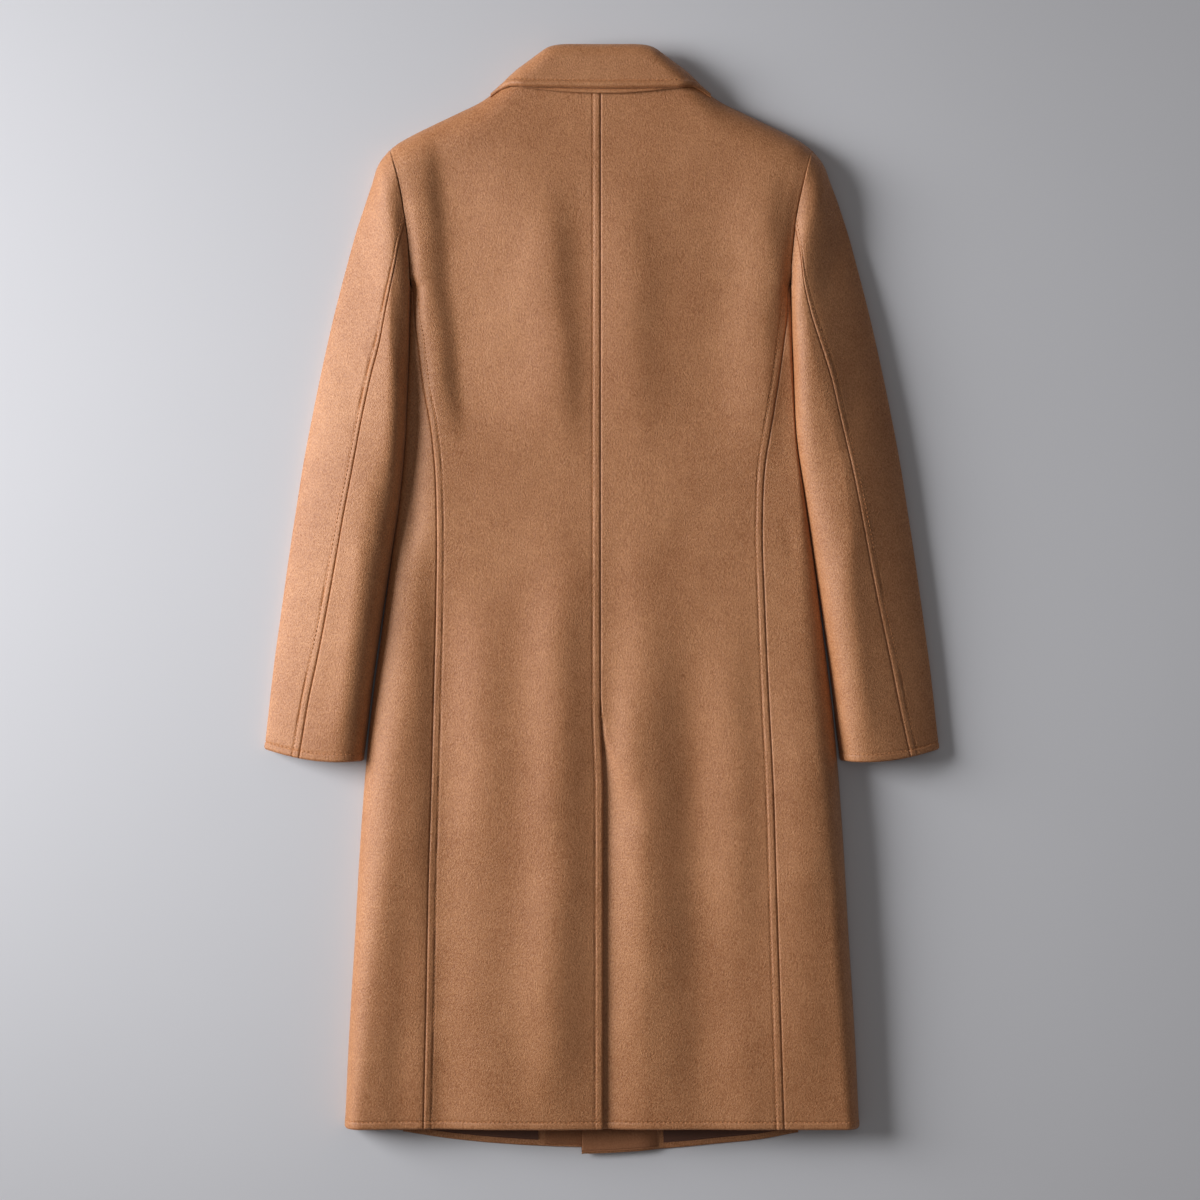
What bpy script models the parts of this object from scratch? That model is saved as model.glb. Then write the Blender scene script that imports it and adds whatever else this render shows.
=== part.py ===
"""An overcoat laid on its face: back up, collar toward +Y, the fronts flat on the surface.

The coat is one flattened tube of cloth with two flattened sleeves. Its form is read from
short tables in millimetres: "down" is the distance below the top of the collar, "across"
the distance from the centre back seam. Each piece that a maker would cut is a wall of
cloth between a grid of points on that form and the same points moved in by the cloth.
"""
import bpy
import numpy as np

MM = 0.001

# Driving dimensions, in millimetres
COAT_LENGTH = 1157.0        # top of the collar to the lowest corner of the fronts
CLOTH = 2.6                 # heavy wool cloth
COLLAR_CLOTH = 2.0
UNDER_COLLAR_CLOTH = 1.4
FACING_CLOTH = 1.5
LINING_CLOTH = 1.0
SEAM_GAP = 0.3              # between two pieces that are sewn together
LAYER = 3.0                 # how far a front is lifted by one layer of cloth below it
OVERLAP_LIFT = 5.6          # lift of the right front over the left front and its facing
FOLD_HEIGHT = 9.0           # height of the widest point of a rolled edge
UNDER_ROLL = 12.0           # how far the rolled edge reaches under the coat
SIDE_ROLL = 44.0            # how far it reaches over the back at the sides
UNDERARM_DOWN = 250.0
SHOULDER_TIP_DOWN = 108.0
BACK_HEM_DOWN = 1130.0
NECK_SEAM_DOWN = 34.0
STAND_REACH = 70.0          # half width of the collar stand's back
VENT_TOP_DOWN = 700.0
VENT_UNDERLAP = 38.0
VENT_LAP = 2.6              # how far the left back's edge lies past the centre
VENT_DROP = 3.6
SLEEVE_BESIDE_BODY = 0.9    # clearance between the sleeve's inner roll and the side fold
FRONT_BREAK_DOWN = 338.0    # where the lapels end
FACING_TOP_DOWN = 440.0
CUFF_OUTER_DOWN = 733.0
CUFF_INNER_DOWN = 744.0
SLEEVE_FAN = 0.75           # the sleeve's rows spread faster at its inner edge
FORE_SEAM_SHARE = 0.70      # place of the seam under the sleeve, outer edge to inner edge

# Outline of the body's top edge: collar roll, then shoulder line
TOP_LINE = (
    # across, down
    (0, 4.2), (24, 4.2), (40, 4.4), (48, 5.4), (56, 8.2), (62, 12.4), (70, 18.8), (78, 25.4), (86, 31.8),
    (92, 37), (101, 43.8),
    (111, 50), (124, 57.4), (150, 70), (176, 82.4), (201, 95), (212, 101.4), (220.5, 108),
)
# Height and roll radius of that edge
TOP_EDGE = (
    # across, edge height, roll radius
    (0, 19, 12), (45, 18, 12), (70, 13, 20), (95, 9, 30), (125, 9, 36), (221, 9, 38),
)
BODY_HEIGHT = (
    # down, height of the upper surface
    (0, 25), (34, 26), (110, 32), (250, 31), (430, 27), (560, 26), (750, 30), (950, 33), (1130, 31),
)
SIDE_FOLD = (
    # down, across
    (250, 197.4), (280, 199.3), (318, 201.5), (365, 204.5), (413, 207.5), (475, 213.5), (537, 221.5), (615, 230.5),
    (694, 240), (824, 250.5), (928, 256.5), (1032, 263), (1130, 267.7),
)
BACK_OUTER_SEAM = (
    # down, left, right: armhole, then the seam to the side panel
    (108, 220.4, 220.6), (130, 213.6, 214.6), (155, 208, 208.5), (178, 204.2, 203.8),
    (205, 200.8, 200.8), (230, 199.4, 198.8), (248, 198.5, 198.3), (258, 190.5, 190.5),
    (270, 190.8, 190.8), (308, 191, 191.2), (358, 184.8, 184.2), (400, 177, 177.4),
    (438, 172.8, 171.4), (500, 170.7, 168.6), (594, 171.8, 171.4), (680, 173.9, 175),
    (776, 176.3, 179.7), (871, 179.1, 182.6), (996, 181.4, 186.6), (1130, 184.4, 191),
)
FRONT_SIDE_SEAM = (
    # down, across: the seam between front and side panel, underneath
    (256, 180), (300, 172), (413, 164), (537, 170), (694, 183), (928, 197), (1130, 207.5),
)
FRONT_EDGE = (
    # down, reach from the centre on the front's own side
    (46, 75), (120, 57), (200, 37.5), (280, 18), (338, 3), (380, -12), (420, -21), (470, -22), (1157, -20),
)
FRONT_HEM = (
    # across, left, right
    (-22, 1152, 1157), (8, 1151, 1155.5), (47, 1149.5, 1152.5), (87, 1147.5, 1150),
    (127, 1144.5, 1146), (167, 1140, 1142), (205, 1135, 1136), (240, 1130, 1131),
)
LAPEL_EDGE = (
    # down, across
    (114, 134), (124, 140), (160, 135), (220, 108), (280, 68), (338, 24),
)
COLLAR_EDGE = (
    # across, left fall, right fall, end of the under side
    (0, 46.9, 46.9, 10), (16, 46, 46.8, 10), (40, 44.4, 46, 14), (55, 42.3, 45.7, 46), (66, 40.7, 45.4, 96),
    (80, 39.4, 45, 108), (92, 40, 45.4, 102), (103, 44, 47.4, 88), (110, 48, 50, 74), (115, 52, 52, 62),
)
UNDER_COLLAR_EDGE = (
    # across, how far it shows below the collar's edge
    (0, 4.8), (30, 4.6), (55, 2.8), (66, 0.8), (95, 0.5),
)
SLEEVE_OUTER = (
    # down, across
    (108, 220.8), (120, 230.5), (146, 240), (172, 248.7), (198, 257), (224, 264), (276, 277.5),
    (328, 289.4), (381, 300.4), (433, 310.3), (485, 318.6), (537, 326.5), (589, 333.8), (641, 341), (733, 351.5),
)
SLEEVE_INNER_GAP = (
    # down, gap between the sleeve's inner edge and the side fold
    (250, 1.2), (330, 1.1), (537, 0.9), (600, 2), (725, 2.4), (750, 4),
)
SLEEVE_FORM = (
    # along, height, bow of the row toward the cuff, edge height
    (0, 31, 0, 9), (0.12, 34, 2, 10), (0.4, 35, 3, 11), (0.7, 33, 4, 11), (1, 28, 5, 10),
)
HIND_SEAM = (
    # along the sleeve, left share, right share of the way from outer to inner edge
    (0, 0.54, 0.58), (0.04, 0.535, 0.625), (0.11, 0.528, 0.61), (0.18, 0.535, 0.56), (0.24, 0.512, 0.525),
    (0.32, 0.492, 0.51), (0.43, 0.488, 0.483), (0.55, 0.478, 0.467), (0.68, 0.462, 0.44),
    (0.8, 0.43, 0.395), (0.89, 0.392, 0.36), (1, 0.362, 0.302),
)
# The largest folds of the back: ridges and troughs with soft ends
FOLDS = (
    # name, from across, from down, to across, to down, half width, rise
    ("blade_left", -54, 150, -46, 420, 34, 3.6),
    ("blade_right", 44, 160, 44, 400, 34, 3.4),
    ("shoulder_right", 182, 120, 168, 400, 24, 3.4),
    ("armhole_hollow_left", -176, 140, -150, 420, 26, -2.8),
    ("armhole_hollow_right", 150, 150, 128, 470, 28, -2.4),
    ("skirt_left", -206, 600, -236, 1150, 22, 2.4),
    ("skirt_hollow_left", -176, 560, -190, 1150, 22, -3.2),
    ("skirt_mid_left", -126, 560, -120, 900, 30, 2.4),
    ("skirt_centre_left", -52, 590, -62, 1240, 34, 4.6),
    ("vent_hollow", 8, 640, 10, 1240, 22, -3.0),
    ("skirt_centre_right", 50, 590, 52, 1240, 30, 4.6),
    ("skirt_hollow_right", 92, 620, 100, 1240, 26, -2.6),
    ("skirt_mid_right", 132, 580, 146, 1000, 30, 2.6),
    ("skirt_right", 222, 620, 232, 1150, 26, 2.0),
)
UNDER_COLLAR_REACH = 96.0   # the under collar shows between these distances from the centre
FOLD_END = 110.0            # length over which a fold fades in and out

# Rows of the grids, as distances down the outer seam
ROWS = (
    108, 109.2, 112.5, 118.5, 128, 142, 158, 176, 196, 215, 232, 248, 258, 300, 345, 392, 440, 490,
    542, 594, 646, 696, 729, 733, 785, 840, 900, 960, 1020, 1078, 1130,
)
BACK_COLUMNS = (0, 0.04, 0.11, 0.19, 0.28, 0.37, 0.46, 0.55, 0.64, 0.72, 0.8, 0.88, 0.95, 1)
UNDERLAP_COLUMNS = (1, 0.68, 0.3, 0.05, 0, 0, 0, 0, 0, 0, 0, 0, 0, 0)
FRONT_EDGE_STEPS = (78, 58, 38, 18, 0)
FACING_COLUMNS = len(FRONT_EDGE_STEPS)
SLEEVE_ROWS = (0, 0.03, 0.08, 0.15, 0.22, 0.3, 0.38, 0.46, 0.54, 0.62, 0.7, 0.78, 0.86, 0.93, 1)

WOOL_COLOUR = (0.34, 0.155, 0.068, 1)
FACING_COLOUR = (0.21, 0.095, 0.045, 1)
LINING_COLOUR = (0.05, 0.02, 0.012, 1)


def curve(table, column):
    """A smooth curve through one column of a table, read by the table's first column."""
    stations = np.array([row[0] for row in table], float)
    values = np.array([row[column] for row in table], float)
    slopes = np.gradient(values, stations)

    def value(at):
        at = np.clip(np.asarray(at, float), stations[0], stations[-1])
        k = np.clip(np.searchsorted(stations, at) - 1, 0, len(stations) - 2)
        span = stations[k + 1] - stations[k]
        t = (at - stations[k]) / span
        start = (2 * t**3 - 3 * t**2 + 1) * values[k] + (t**3 - 2 * t**2 + t) * span * slopes[k]
        end = (3 * t**2 - 2 * t**3) * values[k + 1] + (t**3 - t**2) * span * slopes[k + 1]
        return start + end

    return value


top_line = curve(TOP_LINE, 1)
top_edge_height = curve(TOP_EDGE, 1)
top_edge_roll = curve(TOP_EDGE, 2)
body_height = curve(BODY_HEIGHT, 1)
side_fold = curve(SIDE_FOLD, 1)
back_outer_seam = {-1: curve(BACK_OUTER_SEAM, 1), 1: curve(BACK_OUTER_SEAM, 2)}
front_side_seam = curve(FRONT_SIDE_SEAM, 1)
front_edge = curve(FRONT_EDGE, 1)
front_hem = {-1: curve(FRONT_HEM, 1), 1: curve(FRONT_HEM, 2)}
lapel_edge = curve(LAPEL_EDGE, 1)
collar_fall = {-1: curve(COLLAR_EDGE, 1), 1: curve(COLLAR_EDGE, 2)}
collar_end = curve(COLLAR_EDGE, 3)
under_collar_edge = curve(UNDER_COLLAR_EDGE, 1)
sleeve_outer = curve(SLEEVE_OUTER, 1)
sleeve_inner_gap = curve(SLEEVE_INNER_GAP, 1)
sleeve_height = curve(SLEEVE_FORM, 1)
sleeve_bow = curve(SLEEVE_FORM, 2)
sleeve_edge_height = curve(SLEEVE_FORM, 3)
hind_seam = {-1: curve(HIND_SEAM, 1), 1: curve(HIND_SEAM, 2)}


def smooth(t):
    """Rises softly from 0 to 1 as t goes from 0 to 1."""
    t = np.clip(t, 0, 1)
    return t * t * (3 - 2 * t)


def rolled(distance, radius, fullness=2.3):
    """Height of a rolled edge as a share of the full height, upright at the edge itself."""
    t = np.clip(np.asarray(distance, float) / radius, 0, 1)
    return np.sqrt(1 - (1 - t) ** fullness)


def top_distance(across, down):
    """Distance of a point from the outline of collar and shoulders."""
    across = np.asarray(across, float)
    down = np.asarray(down, float)
    nearest = np.full(np.broadcast(across, down).shape, 1e9)
    fine = np.linspace(0, TOP_LINE[-1][0], 90)
    line = top_line(fine)
    for a, b, c, d in zip(fine[:-1], line[:-1], fine[1:], line[1:]):
        along = ((across - a) * (c - a) + (down - b) * (d - b)) / ((c - a) ** 2 + (d - b) ** 2)
        along = np.clip(along, 0, 1)
        reach = np.hypot(across - a - along * (c - a), down - b - along * (d - b))
        nearest = np.minimum(nearest, reach)
    return nearest


def side_distance(across, down):
    """Distance of a point from the side fold, which starts at the underarm."""
    below = side_fold(down) - across
    above = 2.2 * np.hypot(side_fold(UNDERARM_DOWN) - across, UNDERARM_DOWN - down)
    return np.where(down >= UNDERARM_DOWN, below, above)


def relief(x, down):
    """Sum of the back's folds."""
    total = np.zeros(np.broadcast(x, down).shape)
    for _, x_from, down_from, x_to, down_to, half_width, rise in FOLDS:
        share = np.clip((down - down_from) / (down_to - down_from), 0, 1)
        offset = (x - (x_from + (x_to - x_from) * share)) / half_width
        ends = smooth((down - down_from) / FOLD_END) * smooth((down_to - down) / FOLD_END)
        total = total + rise * ends * np.exp(-offset**2)
    return total


def back_height(x, down):
    """Height of the coat's upper surface."""
    across = np.abs(x)
    low = top_edge_height(across)
    top = rolled(top_distance(across, down), top_edge_roll(across))
    side = rolled(side_distance(across, down), SIDE_ROLL)
    return low + top * side * (body_height(down) - low + relief(x, down))


def back_normals(points):
    """Unit normals of the coat's upper surface at given points."""
    x = points[..., 0]
    down = COAT_LENGTH / 2 - points[..., 1]
    step = 0.5
    slope_x = (back_height(x + step, down) - back_height(x - step, down)) / (2 * step)
    slope_down = (back_height(x, down + step) - back_height(x, down - step)) / (2 * step)
    return unit(np.stack([-slope_x, slope_down, np.ones_like(x)], axis=-1))


def layer_lift(x, down):
    """How far both fronts are lifted by the lapels and collar ends under them."""
    inside = 1 - smooth((np.abs(x) - 150) / 35)
    return LAYER * inside * (1 - smooth((down - FACING_TOP_DOWN) / 40))


def front_height(x, down, side):
    """Height of the lower surface of a front. The right front lies over the left one."""
    lift = layer_lift(x, down)
    if side > 0:
        lift = lift + OVERLAP_LIFT * (1 - smooth((x - 40) / 30)) * smooth((down - 310) / 20)
    edge = top_edge_height(np.abs(x))
    curl = 1 - rolled(top_distance(np.abs(x), down), UNDER_ROLL, 2)
    return lift + (edge - lift) * curl


def unit(vectors):
    length = np.linalg.norm(vectors, axis=-1, keepdims=True)
    return vectors / np.maximum(length, 1e-9)


def outward(points, facing):
    """Unit normals of a grid of points, turned so that the middle faces up (1) or down (-1)."""
    along = np.gradient(points, axis=0)
    across = np.gradient(points, axis=1)
    normals = unit(np.cross(along, across))
    rows, columns = points.shape[:2]
    row, column = facing[1] if isinstance(facing, tuple) else (rows // 2, columns // 2)
    sign = facing[0] if isinstance(facing, tuple) else facing
    if normals[row, column, 2] * sign < 0:
        normals = -normals
    return normals


def straighten_edge(points, normals, edge):
    """Keeps the cloth's cut edge in the upright surface over its seam, or level on a rolled fold."""
    line = points[edge]
    tangent = unit(np.gradient(line, axis=0))
    plan = tangent * np.array([1, 1, 0])
    far = line[np.argmax(np.linalg.norm(line[:, :2] - line[0, :2], axis=1))]
    chord = unit((far - line[0]) * np.array([1, 1, 0]))
    plan = plan * np.where(np.sum(plan * chord, axis=1, keepdims=True) < 0, -1, 1)
    faint = np.linalg.norm(plan, axis=1, keepdims=True) < 0.12
    plan = np.where(faint, chord, unit(plan))
    run = np.sum(tangent * plan, axis=1, keepdims=True)
    upright = unit(run * np.array([0, 0, 1]) - tangent[:, 2:] * plan)
    if np.sum(upright * normals[edge]) < 0:
        upright = -upright
    level = normals[edge] * np.array([1, 1, 0])
    steep = np.abs(normals[edge][:, 2]) < 0.6
    along_fold = np.abs(tangent[:, 2]) < 0.5
    normals[edge] = np.where((steep & along_fold)[:, None], unit(level), upright)


FIRST_ROW = np.s_[0, :]
LAST_ROW = np.s_[-1, :]
FIRST_COLUMN = np.s_[:, 0]
LAST_COLUMN = np.s_[:, -1]


def grid(x, down, z):
    """Points in the part's own frame, in millimetres."""
    x, down, z = np.broadcast_arrays(x, down, z)
    return np.stack([x, COAT_LENGTH / 2 - down, z], axis=-1).astype(float)


def cloth_normals(points, facing, seams):
    normals = outward(points, facing)
    for edge in seams:
        straighten_edge(points, normals, edge)
    return normals


def wall(name, outer, inner, colour, collection):
    """One closed piece of cloth between two grids of points."""
    rows, columns = outer.shape[:2]
    count = rows * columns
    corners = [tuple(p * MM) for p in outer.reshape(-1, 3)] + [tuple(p * MM) for p in inner.reshape(-1, 3)]
    faces = []
    for r in range(rows - 1):
        for c in range(columns - 1):
            a = r * columns + c
            for face in ((a, a + 1, a + 1 + columns), (a, a + 1 + columns, a + columns)):
                faces.append(face)
                faces.append(tuple(count + v for v in reversed(face)))
    rim = [c for c in range(columns)] + [r * columns + columns - 1 for r in range(1, rows)]
    rim += [(rows - 1) * columns + c for c in range(columns - 2, -1, -1)]
    rim += [r * columns for r in range(rows - 2, 0, -1)]
    for a, b in zip(rim, rim[1:] + rim[:1]):
        faces.append((b, a, count + a, count + b))
    mesh = bpy.data.meshes.new(name)
    mesh.from_pydata(corners, [], faces)
    mesh.validate()
    turn_outward(mesh)
    mesh.shade_smooth()
    mesh.set_sharp_from_angle(angle=0.7)
    mesh.materials.append(cloth_material(name, colour))
    piece = bpy.data.objects.new(name, mesh)
    collection.objects.link(piece)
    return piece


def turn_outward(mesh):
    """Flips the mesh if its faces point inward."""
    volume = 0.0
    for polygon in mesh.polygons:
        first = mesh.vertices[polygon.vertices[0]].co
        for k in range(1, len(polygon.vertices) - 1):
            second = mesh.vertices[polygon.vertices[k]].co
            third = mesh.vertices[polygon.vertices[k + 1]].co
            volume += first.dot(second.cross(third))
    if volume < 0:
        mesh.flip_normals()


def cloth_material(name, colour):
    material = bpy.data.materials.new(name)
    material.use_nodes = True
    shader = material.node_tree.nodes["Principled BSDF"]
    shader.inputs["Base Color"].default_value = colour
    shader.inputs["Roughness"].default_value = 0.9
    shader.inputs["Metallic"].default_value = 0.0
    return material


def back_points(side):
    """Grid of one back panel: rows from neck and shoulder to hem, columns from the centre seam out."""
    outer_down = np.array(ROWS, float)[:, None]
    share = (outer_down - ROWS[0]) / (ROWS[-1] - ROWS[0])
    column = np.array(BACK_COLUMNS)[None, :]
    top_across = column * (back_outer_seam[side](ROWS[0]) - SEAM_GAP / 2)
    top_down = np.maximum(NECK_SEAM_DOWN, top_line(top_across))
    down = top_down + (BACK_HEM_DOWN - top_down) * share
    down = down + (outer_down - down[:, -1:]) * column
    below_vent = smooth((down[:, :1] - VENT_TOP_DOWN) / 4)
    if side < 0:
        inner = -SEAM_GAP / 2 + VENT_LAP * below_vent
    else:
        inner = SEAM_GAP / 2
    outer = side * (back_outer_seam[side](outer_down) - SEAM_GAP / 2)
    x = inner + (outer - inner) * column
    if side > 0:
        x = x - VENT_UNDERLAP * below_vent * np.array(UNDERLAP_COLUMNS)[None, :]
    z = back_height(x, down)
    if side > 0:
        drop = smooth((down - VENT_TOP_DOWN + 20) / 19.9) * (1 - smooth((x - 5) / 45))
        z = z - VENT_DROP * drop
    lift = SEAM_GAP / 2 * (down <= top_line(np.abs(x)) + 0.5) * (np.abs(x) > 92)
    return grid(x, down, z + lift)


def hem_drop(down):
    """The fronts' hem hangs a little lower than the back's."""
    return 5.0 * smooth((down - 1000) / 130)


def side_points(side):
    """Grid of one side panel: from the back seam over the side fold to the front seam underneath."""
    down = np.array([row for row in ROWS if row > UNDERARM_DOWN], float)[:, None]
    fold = side_fold(down)
    start = back_outer_seam[side](down) + SEAM_GAP / 2
    end = front_side_seam(down) + SEAM_GAP / 2
    over = 1 - np.linspace(1, 0, 9)[None, :] ** 2
    under = np.linspace(0, 1, 6)[None, 1:] ** 2
    top_x = start + (fold - start) * over
    low_x = fold - (fold - end) * under
    top_z = back_height(side * top_x, down)
    low_z = FOLD_HEIGHT * (1 - rolled(fold - low_x, UNDER_ROLL, 2))
    low_down = down + hem_drop(down) * under
    upper = grid(side * top_x, down, top_z)
    lower = grid(side * low_x, low_down, low_z)
    return np.concatenate([upper, lower], axis=1)


def front_points(side):
    """Grid of one front: columns from armhole and side seam to the front edge."""
    seam_down = np.array(ROWS, float)[:, None]
    share = (seam_down - ROWS[0]) / (ROWS[-1] - ROWS[0])
    edge_down = FRONT_EDGE[0][0] + (front_hem[side](-20) - FRONT_EDGE[0][0]) * share
    armhole = back_outer_seam[side](seam_down)
    seam = np.where(seam_down < UNDERARM_DOWN, armhole, front_side_seam(seam_down)) - SEAM_GAP / 2
    seam_down = seam_down + hem_drop(seam_down)
    edge = front_edge(edge_down)
    near = edge + np.array(FRONT_EDGE_STEPS)[None, :] * (0.55 + 0.45 * smooth((edge_down - 46) / 250))
    rest = seam + (near[:, :1] - seam) * np.linspace(0, 1, 7)[None, :-1]
    across = np.concatenate([rest, near], axis=1)
    column = (seam - across) / (seam - edge)
    down = seam_down + (edge_down - seam_down) * column
    top = np.maximum(top_line(across[:1]), 4) + 9.5 * smooth((92 - across[:1]) / 17)
    down = down + (top - down[:1]) * (1 - share) ** 3
    hem = front_hem[side](across[-1:])
    down = down + (hem - down[-1:]) * share**3
    z = front_height(side * across, down, side)
    lower = SEAM_GAP / 2 * (down <= top_line(across) + 0.5) * (across > 92)
    return grid(side * across, down, z - lower)


def moved(points, normals, distance):
    return points + normals * distance


def lapel_points(side):
    """Grid of one lapel, flat on the surface under its front."""
    share = np.linspace(0, 1, 10)[:, None] ** 0.8
    column = np.linspace(0, 1, 5)[None, :]
    down = 115 + (FRONT_BREAK_DOWN - 115) * share + 5 * column * (1 - share)
    roll = front_edge(down) + 0.6
    across = roll + (lapel_edge(down) - roll) * column
    return grid(side * across, down, 0.0)


def collar_path():
    """The collar's section at each station across, on the form of neck and shoulders.

    Returns the form's points, their outward normals in the section's plane, and the share
    of the way from the collar's edge over the roll to its end under the coat.
    """
    half = np.array([0, 14, 28, 42, 52, 60, 68, 77, 86, 95, 104, 110, 115.0])
    stations = np.concatenate([-half[:0:-1], half])
    points = []
    for x in stations:
        across = abs(x)
        side = -1 if x < 0 else 1
        roll = float(top_line(across))
        edge = max(float(collar_fall[side](across)), roll + 1.2)
        end = max(float(collar_end(across)), roll + 6)
        over = roll + (edge - roll) * np.linspace(1, 0, 8) ** 2
        under = roll + (end - roll) * np.linspace(0, 1, 7)[1:] ** 2
        low = top_edge_height(across)
        floor = LAYER + 14 * (1 - smooth((across - 36) / 30))
        over_z = back_height(x, over)
        under_z = floor + (low - floor) * (1 - rolled(top_distance(across, under), UNDER_ROLL, 2))
        points.append(grid(x, np.concatenate([over, under]), np.concatenate([over_z, under_z])))
    points = np.array(points)
    tangent = unit(np.gradient(points, axis=1) * np.array([0, 1, 1]))
    normals = np.stack([np.zeros_like(tangent[..., 0]), -tangent[..., 2], tangent[..., 1]], axis=-1)
    if normals[len(stations) // 2, 0, 2] < 0:
        normals = -normals
    return points, normals


def collar_pieces(collection):
    points, normals = collar_path()
    over = 8
    gap = 0.5 + 1.3 * smooth((np.abs(points[:, :1, :1]) - 46) / 22)
    outer_reach = gap + UNDER_COLLAR_CLOTH + SEAM_GAP + COLLAR_CLOTH
    share = smooth(np.clip((np.arange(points.shape[1]) - over + 2) / 4, 0, 1))[None, :, None]
    reach = outer_reach + (LAYER - outer_reach) * share
    outer = points + normals * reach
    outer[..., 2] = np.maximum(outer[..., 2], 0)
    inner = points + normals * (reach - COLLAR_CLOTH)
    inner[..., 2] = np.where(outer[..., 2] < 0.01, COLLAR_CLOTH, inner[..., 2])
    wall("top_collar", outer, inner, WOOL_COLOUR, collection)

    middle = np.abs(points[:, 0, 0]) < UNDER_COLLAR_REACH
    edge = points[middle, :1].copy()
    edge[..., 1] -= under_collar_edge(np.abs(edge[..., 0]))
    edge[..., 2] = back_height(edge[..., 0], COAT_LENGTH / 2 - edge[..., 1])
    upper = np.concatenate([edge, points[middle, :over - 1]], axis=1)
    turned = np.concatenate([normals[middle, :1], normals[middle, :over - 1]], axis=1)
    gap = gap[middle]
    face = upper + turned * (gap + UNDER_COLLAR_CLOTH)
    wall("under_collar", face, upper + turned * gap, WOOL_COLOUR, collection)


def stand_points():
    x = np.linspace(-STAND_REACH, STAND_REACH, 13)[:, None]
    top = top_line(np.abs(x)) + 1.2
    end = np.maximum(NECK_SEAM_DOWN - SEAM_GAP, top + 1.5)
    down = top + (end - top) * np.linspace(0, 1, 5)[None, :] ** 1.6
    return grid(x, down, back_height(x, down) - 0.2)


def sleeve_inner(down):
    """Distance of the sleeve's inner edge from the centre."""
    return side_fold(down) + sleeve_inner_gap(down)


def sleeve_plan(along, share, side):
    """Place of a point of the sleeve: along from armhole to cuff, share from outer to inner edge."""
    outer_down = SHOULDER_TIP_DOWN + along * (CUFF_OUTER_DOWN - SHOULDER_TIP_DOWN)
    inner_down = UNDERARM_DOWN + along**SLEEVE_FAN * (CUFF_INNER_DOWN - UNDERARM_DOWN)
    outer = sleeve_outer(outer_down)
    inner = sleeve_inner(inner_down)
    across = outer + (inner - outer) * share
    down = outer_down + (inner_down - outer_down) * share
    seam_down = SHOULDER_TIP_DOWN + (UNDERARM_DOWN - SHOULDER_TIP_DOWN) * share
    straight = sleeve_outer(SHOULDER_TIP_DOWN) * (1 - share) + sleeve_inner(UNDERARM_DOWN) * share
    armhole = back_outer_seam[side](np.minimum(seam_down, 248)) + SEAM_GAP / 2
    across = across + (armhole - straight) * (1 - smooth(along / 0.25))
    down = down + sleeve_bow(along) * np.sin(np.pi * share)
    return across, down


def sleeve_points(side, angles):
    """Grid of sleeve cloth: rows from armhole to cuff, columns round the section by angle.

    The angle runs from 0 at the outer edge over the top to 180 at the inner edge, and on
    underneath to 360. Each row has its own angles.
    """
    along = np.array(SLEEVE_ROWS, float)[:, None] * np.ones_like(angles)
    turn = np.radians(angles)
    share = (1 - np.cos(turn)) / 2
    across, down = sleeve_plan(along, share, side)
    low = sleeve_edge_height(along)
    full = np.sqrt(np.clip(1 - np.abs(2 * share - 1) ** 2.6, 0, 1))
    top_z = low + (sleeve_height(along) - low) * full
    seam_across, seam_down = sleeve_plan(along * 0, share, side)
    armhole_z = back_height(side * (seam_across - SEAM_GAP), seam_down)
    straight_z = sleeve_edge_height(0) + (sleeve_height(0) - sleeve_edge_height(0)) * full
    top_z = top_z + (armhole_z - straight_z) * (1 - smooth(along / 0.15))
    width = 98 + 50 * (1 - smooth(along / 0.2))
    edge = np.minimum(share, 1 - share) * width
    low_z = low * (1 - rolled(edge, UNDER_ROLL, 2))
    z = np.where(np.mod(angles, 360) <= 180, top_z, low_z)
    return grid(side * across, down, z)


def seam_angle(share):
    return np.degrees(np.arccos(1 - 2 * share))


def sleeve_angles(side):
    """Angles of the two sleeve pieces, row by row."""
    rows = np.array(SLEEVE_ROWS)
    hind = seam_angle(hind_seam[side](rows))[:, None]
    fore = 360 - seam_angle(FORE_SEAM_SHARE)
    gap = 0.2 + 0.5 * (1 - smooth(rows / 0.3))[:, None]
    step = np.linspace(0, 1, 14)[None, :]
    top = (hind - gap) + (fore - 360 + gap - hind + gap) * step
    step = np.linspace(0, 1, 10)[None, :]
    under = (hind + gap) + (fore - gap - hind - gap) * step
    return top, under


def sleeve_pieces(side, word, collection):
    top, under = sleeve_angles(side)
    for name, angles in (("top_sleeve_" + word, top), ("under_sleeve_" + word, under)):
        points = sleeve_points(side, angles)
        normals = cloth_normals(points, (1, (8, 1)), (FIRST_COLUMN, LAST_COLUMN, FIRST_ROW))
        wall(name, points, moved(points, normals, -CLOTH), WOOL_COLOUR, collection)


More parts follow.
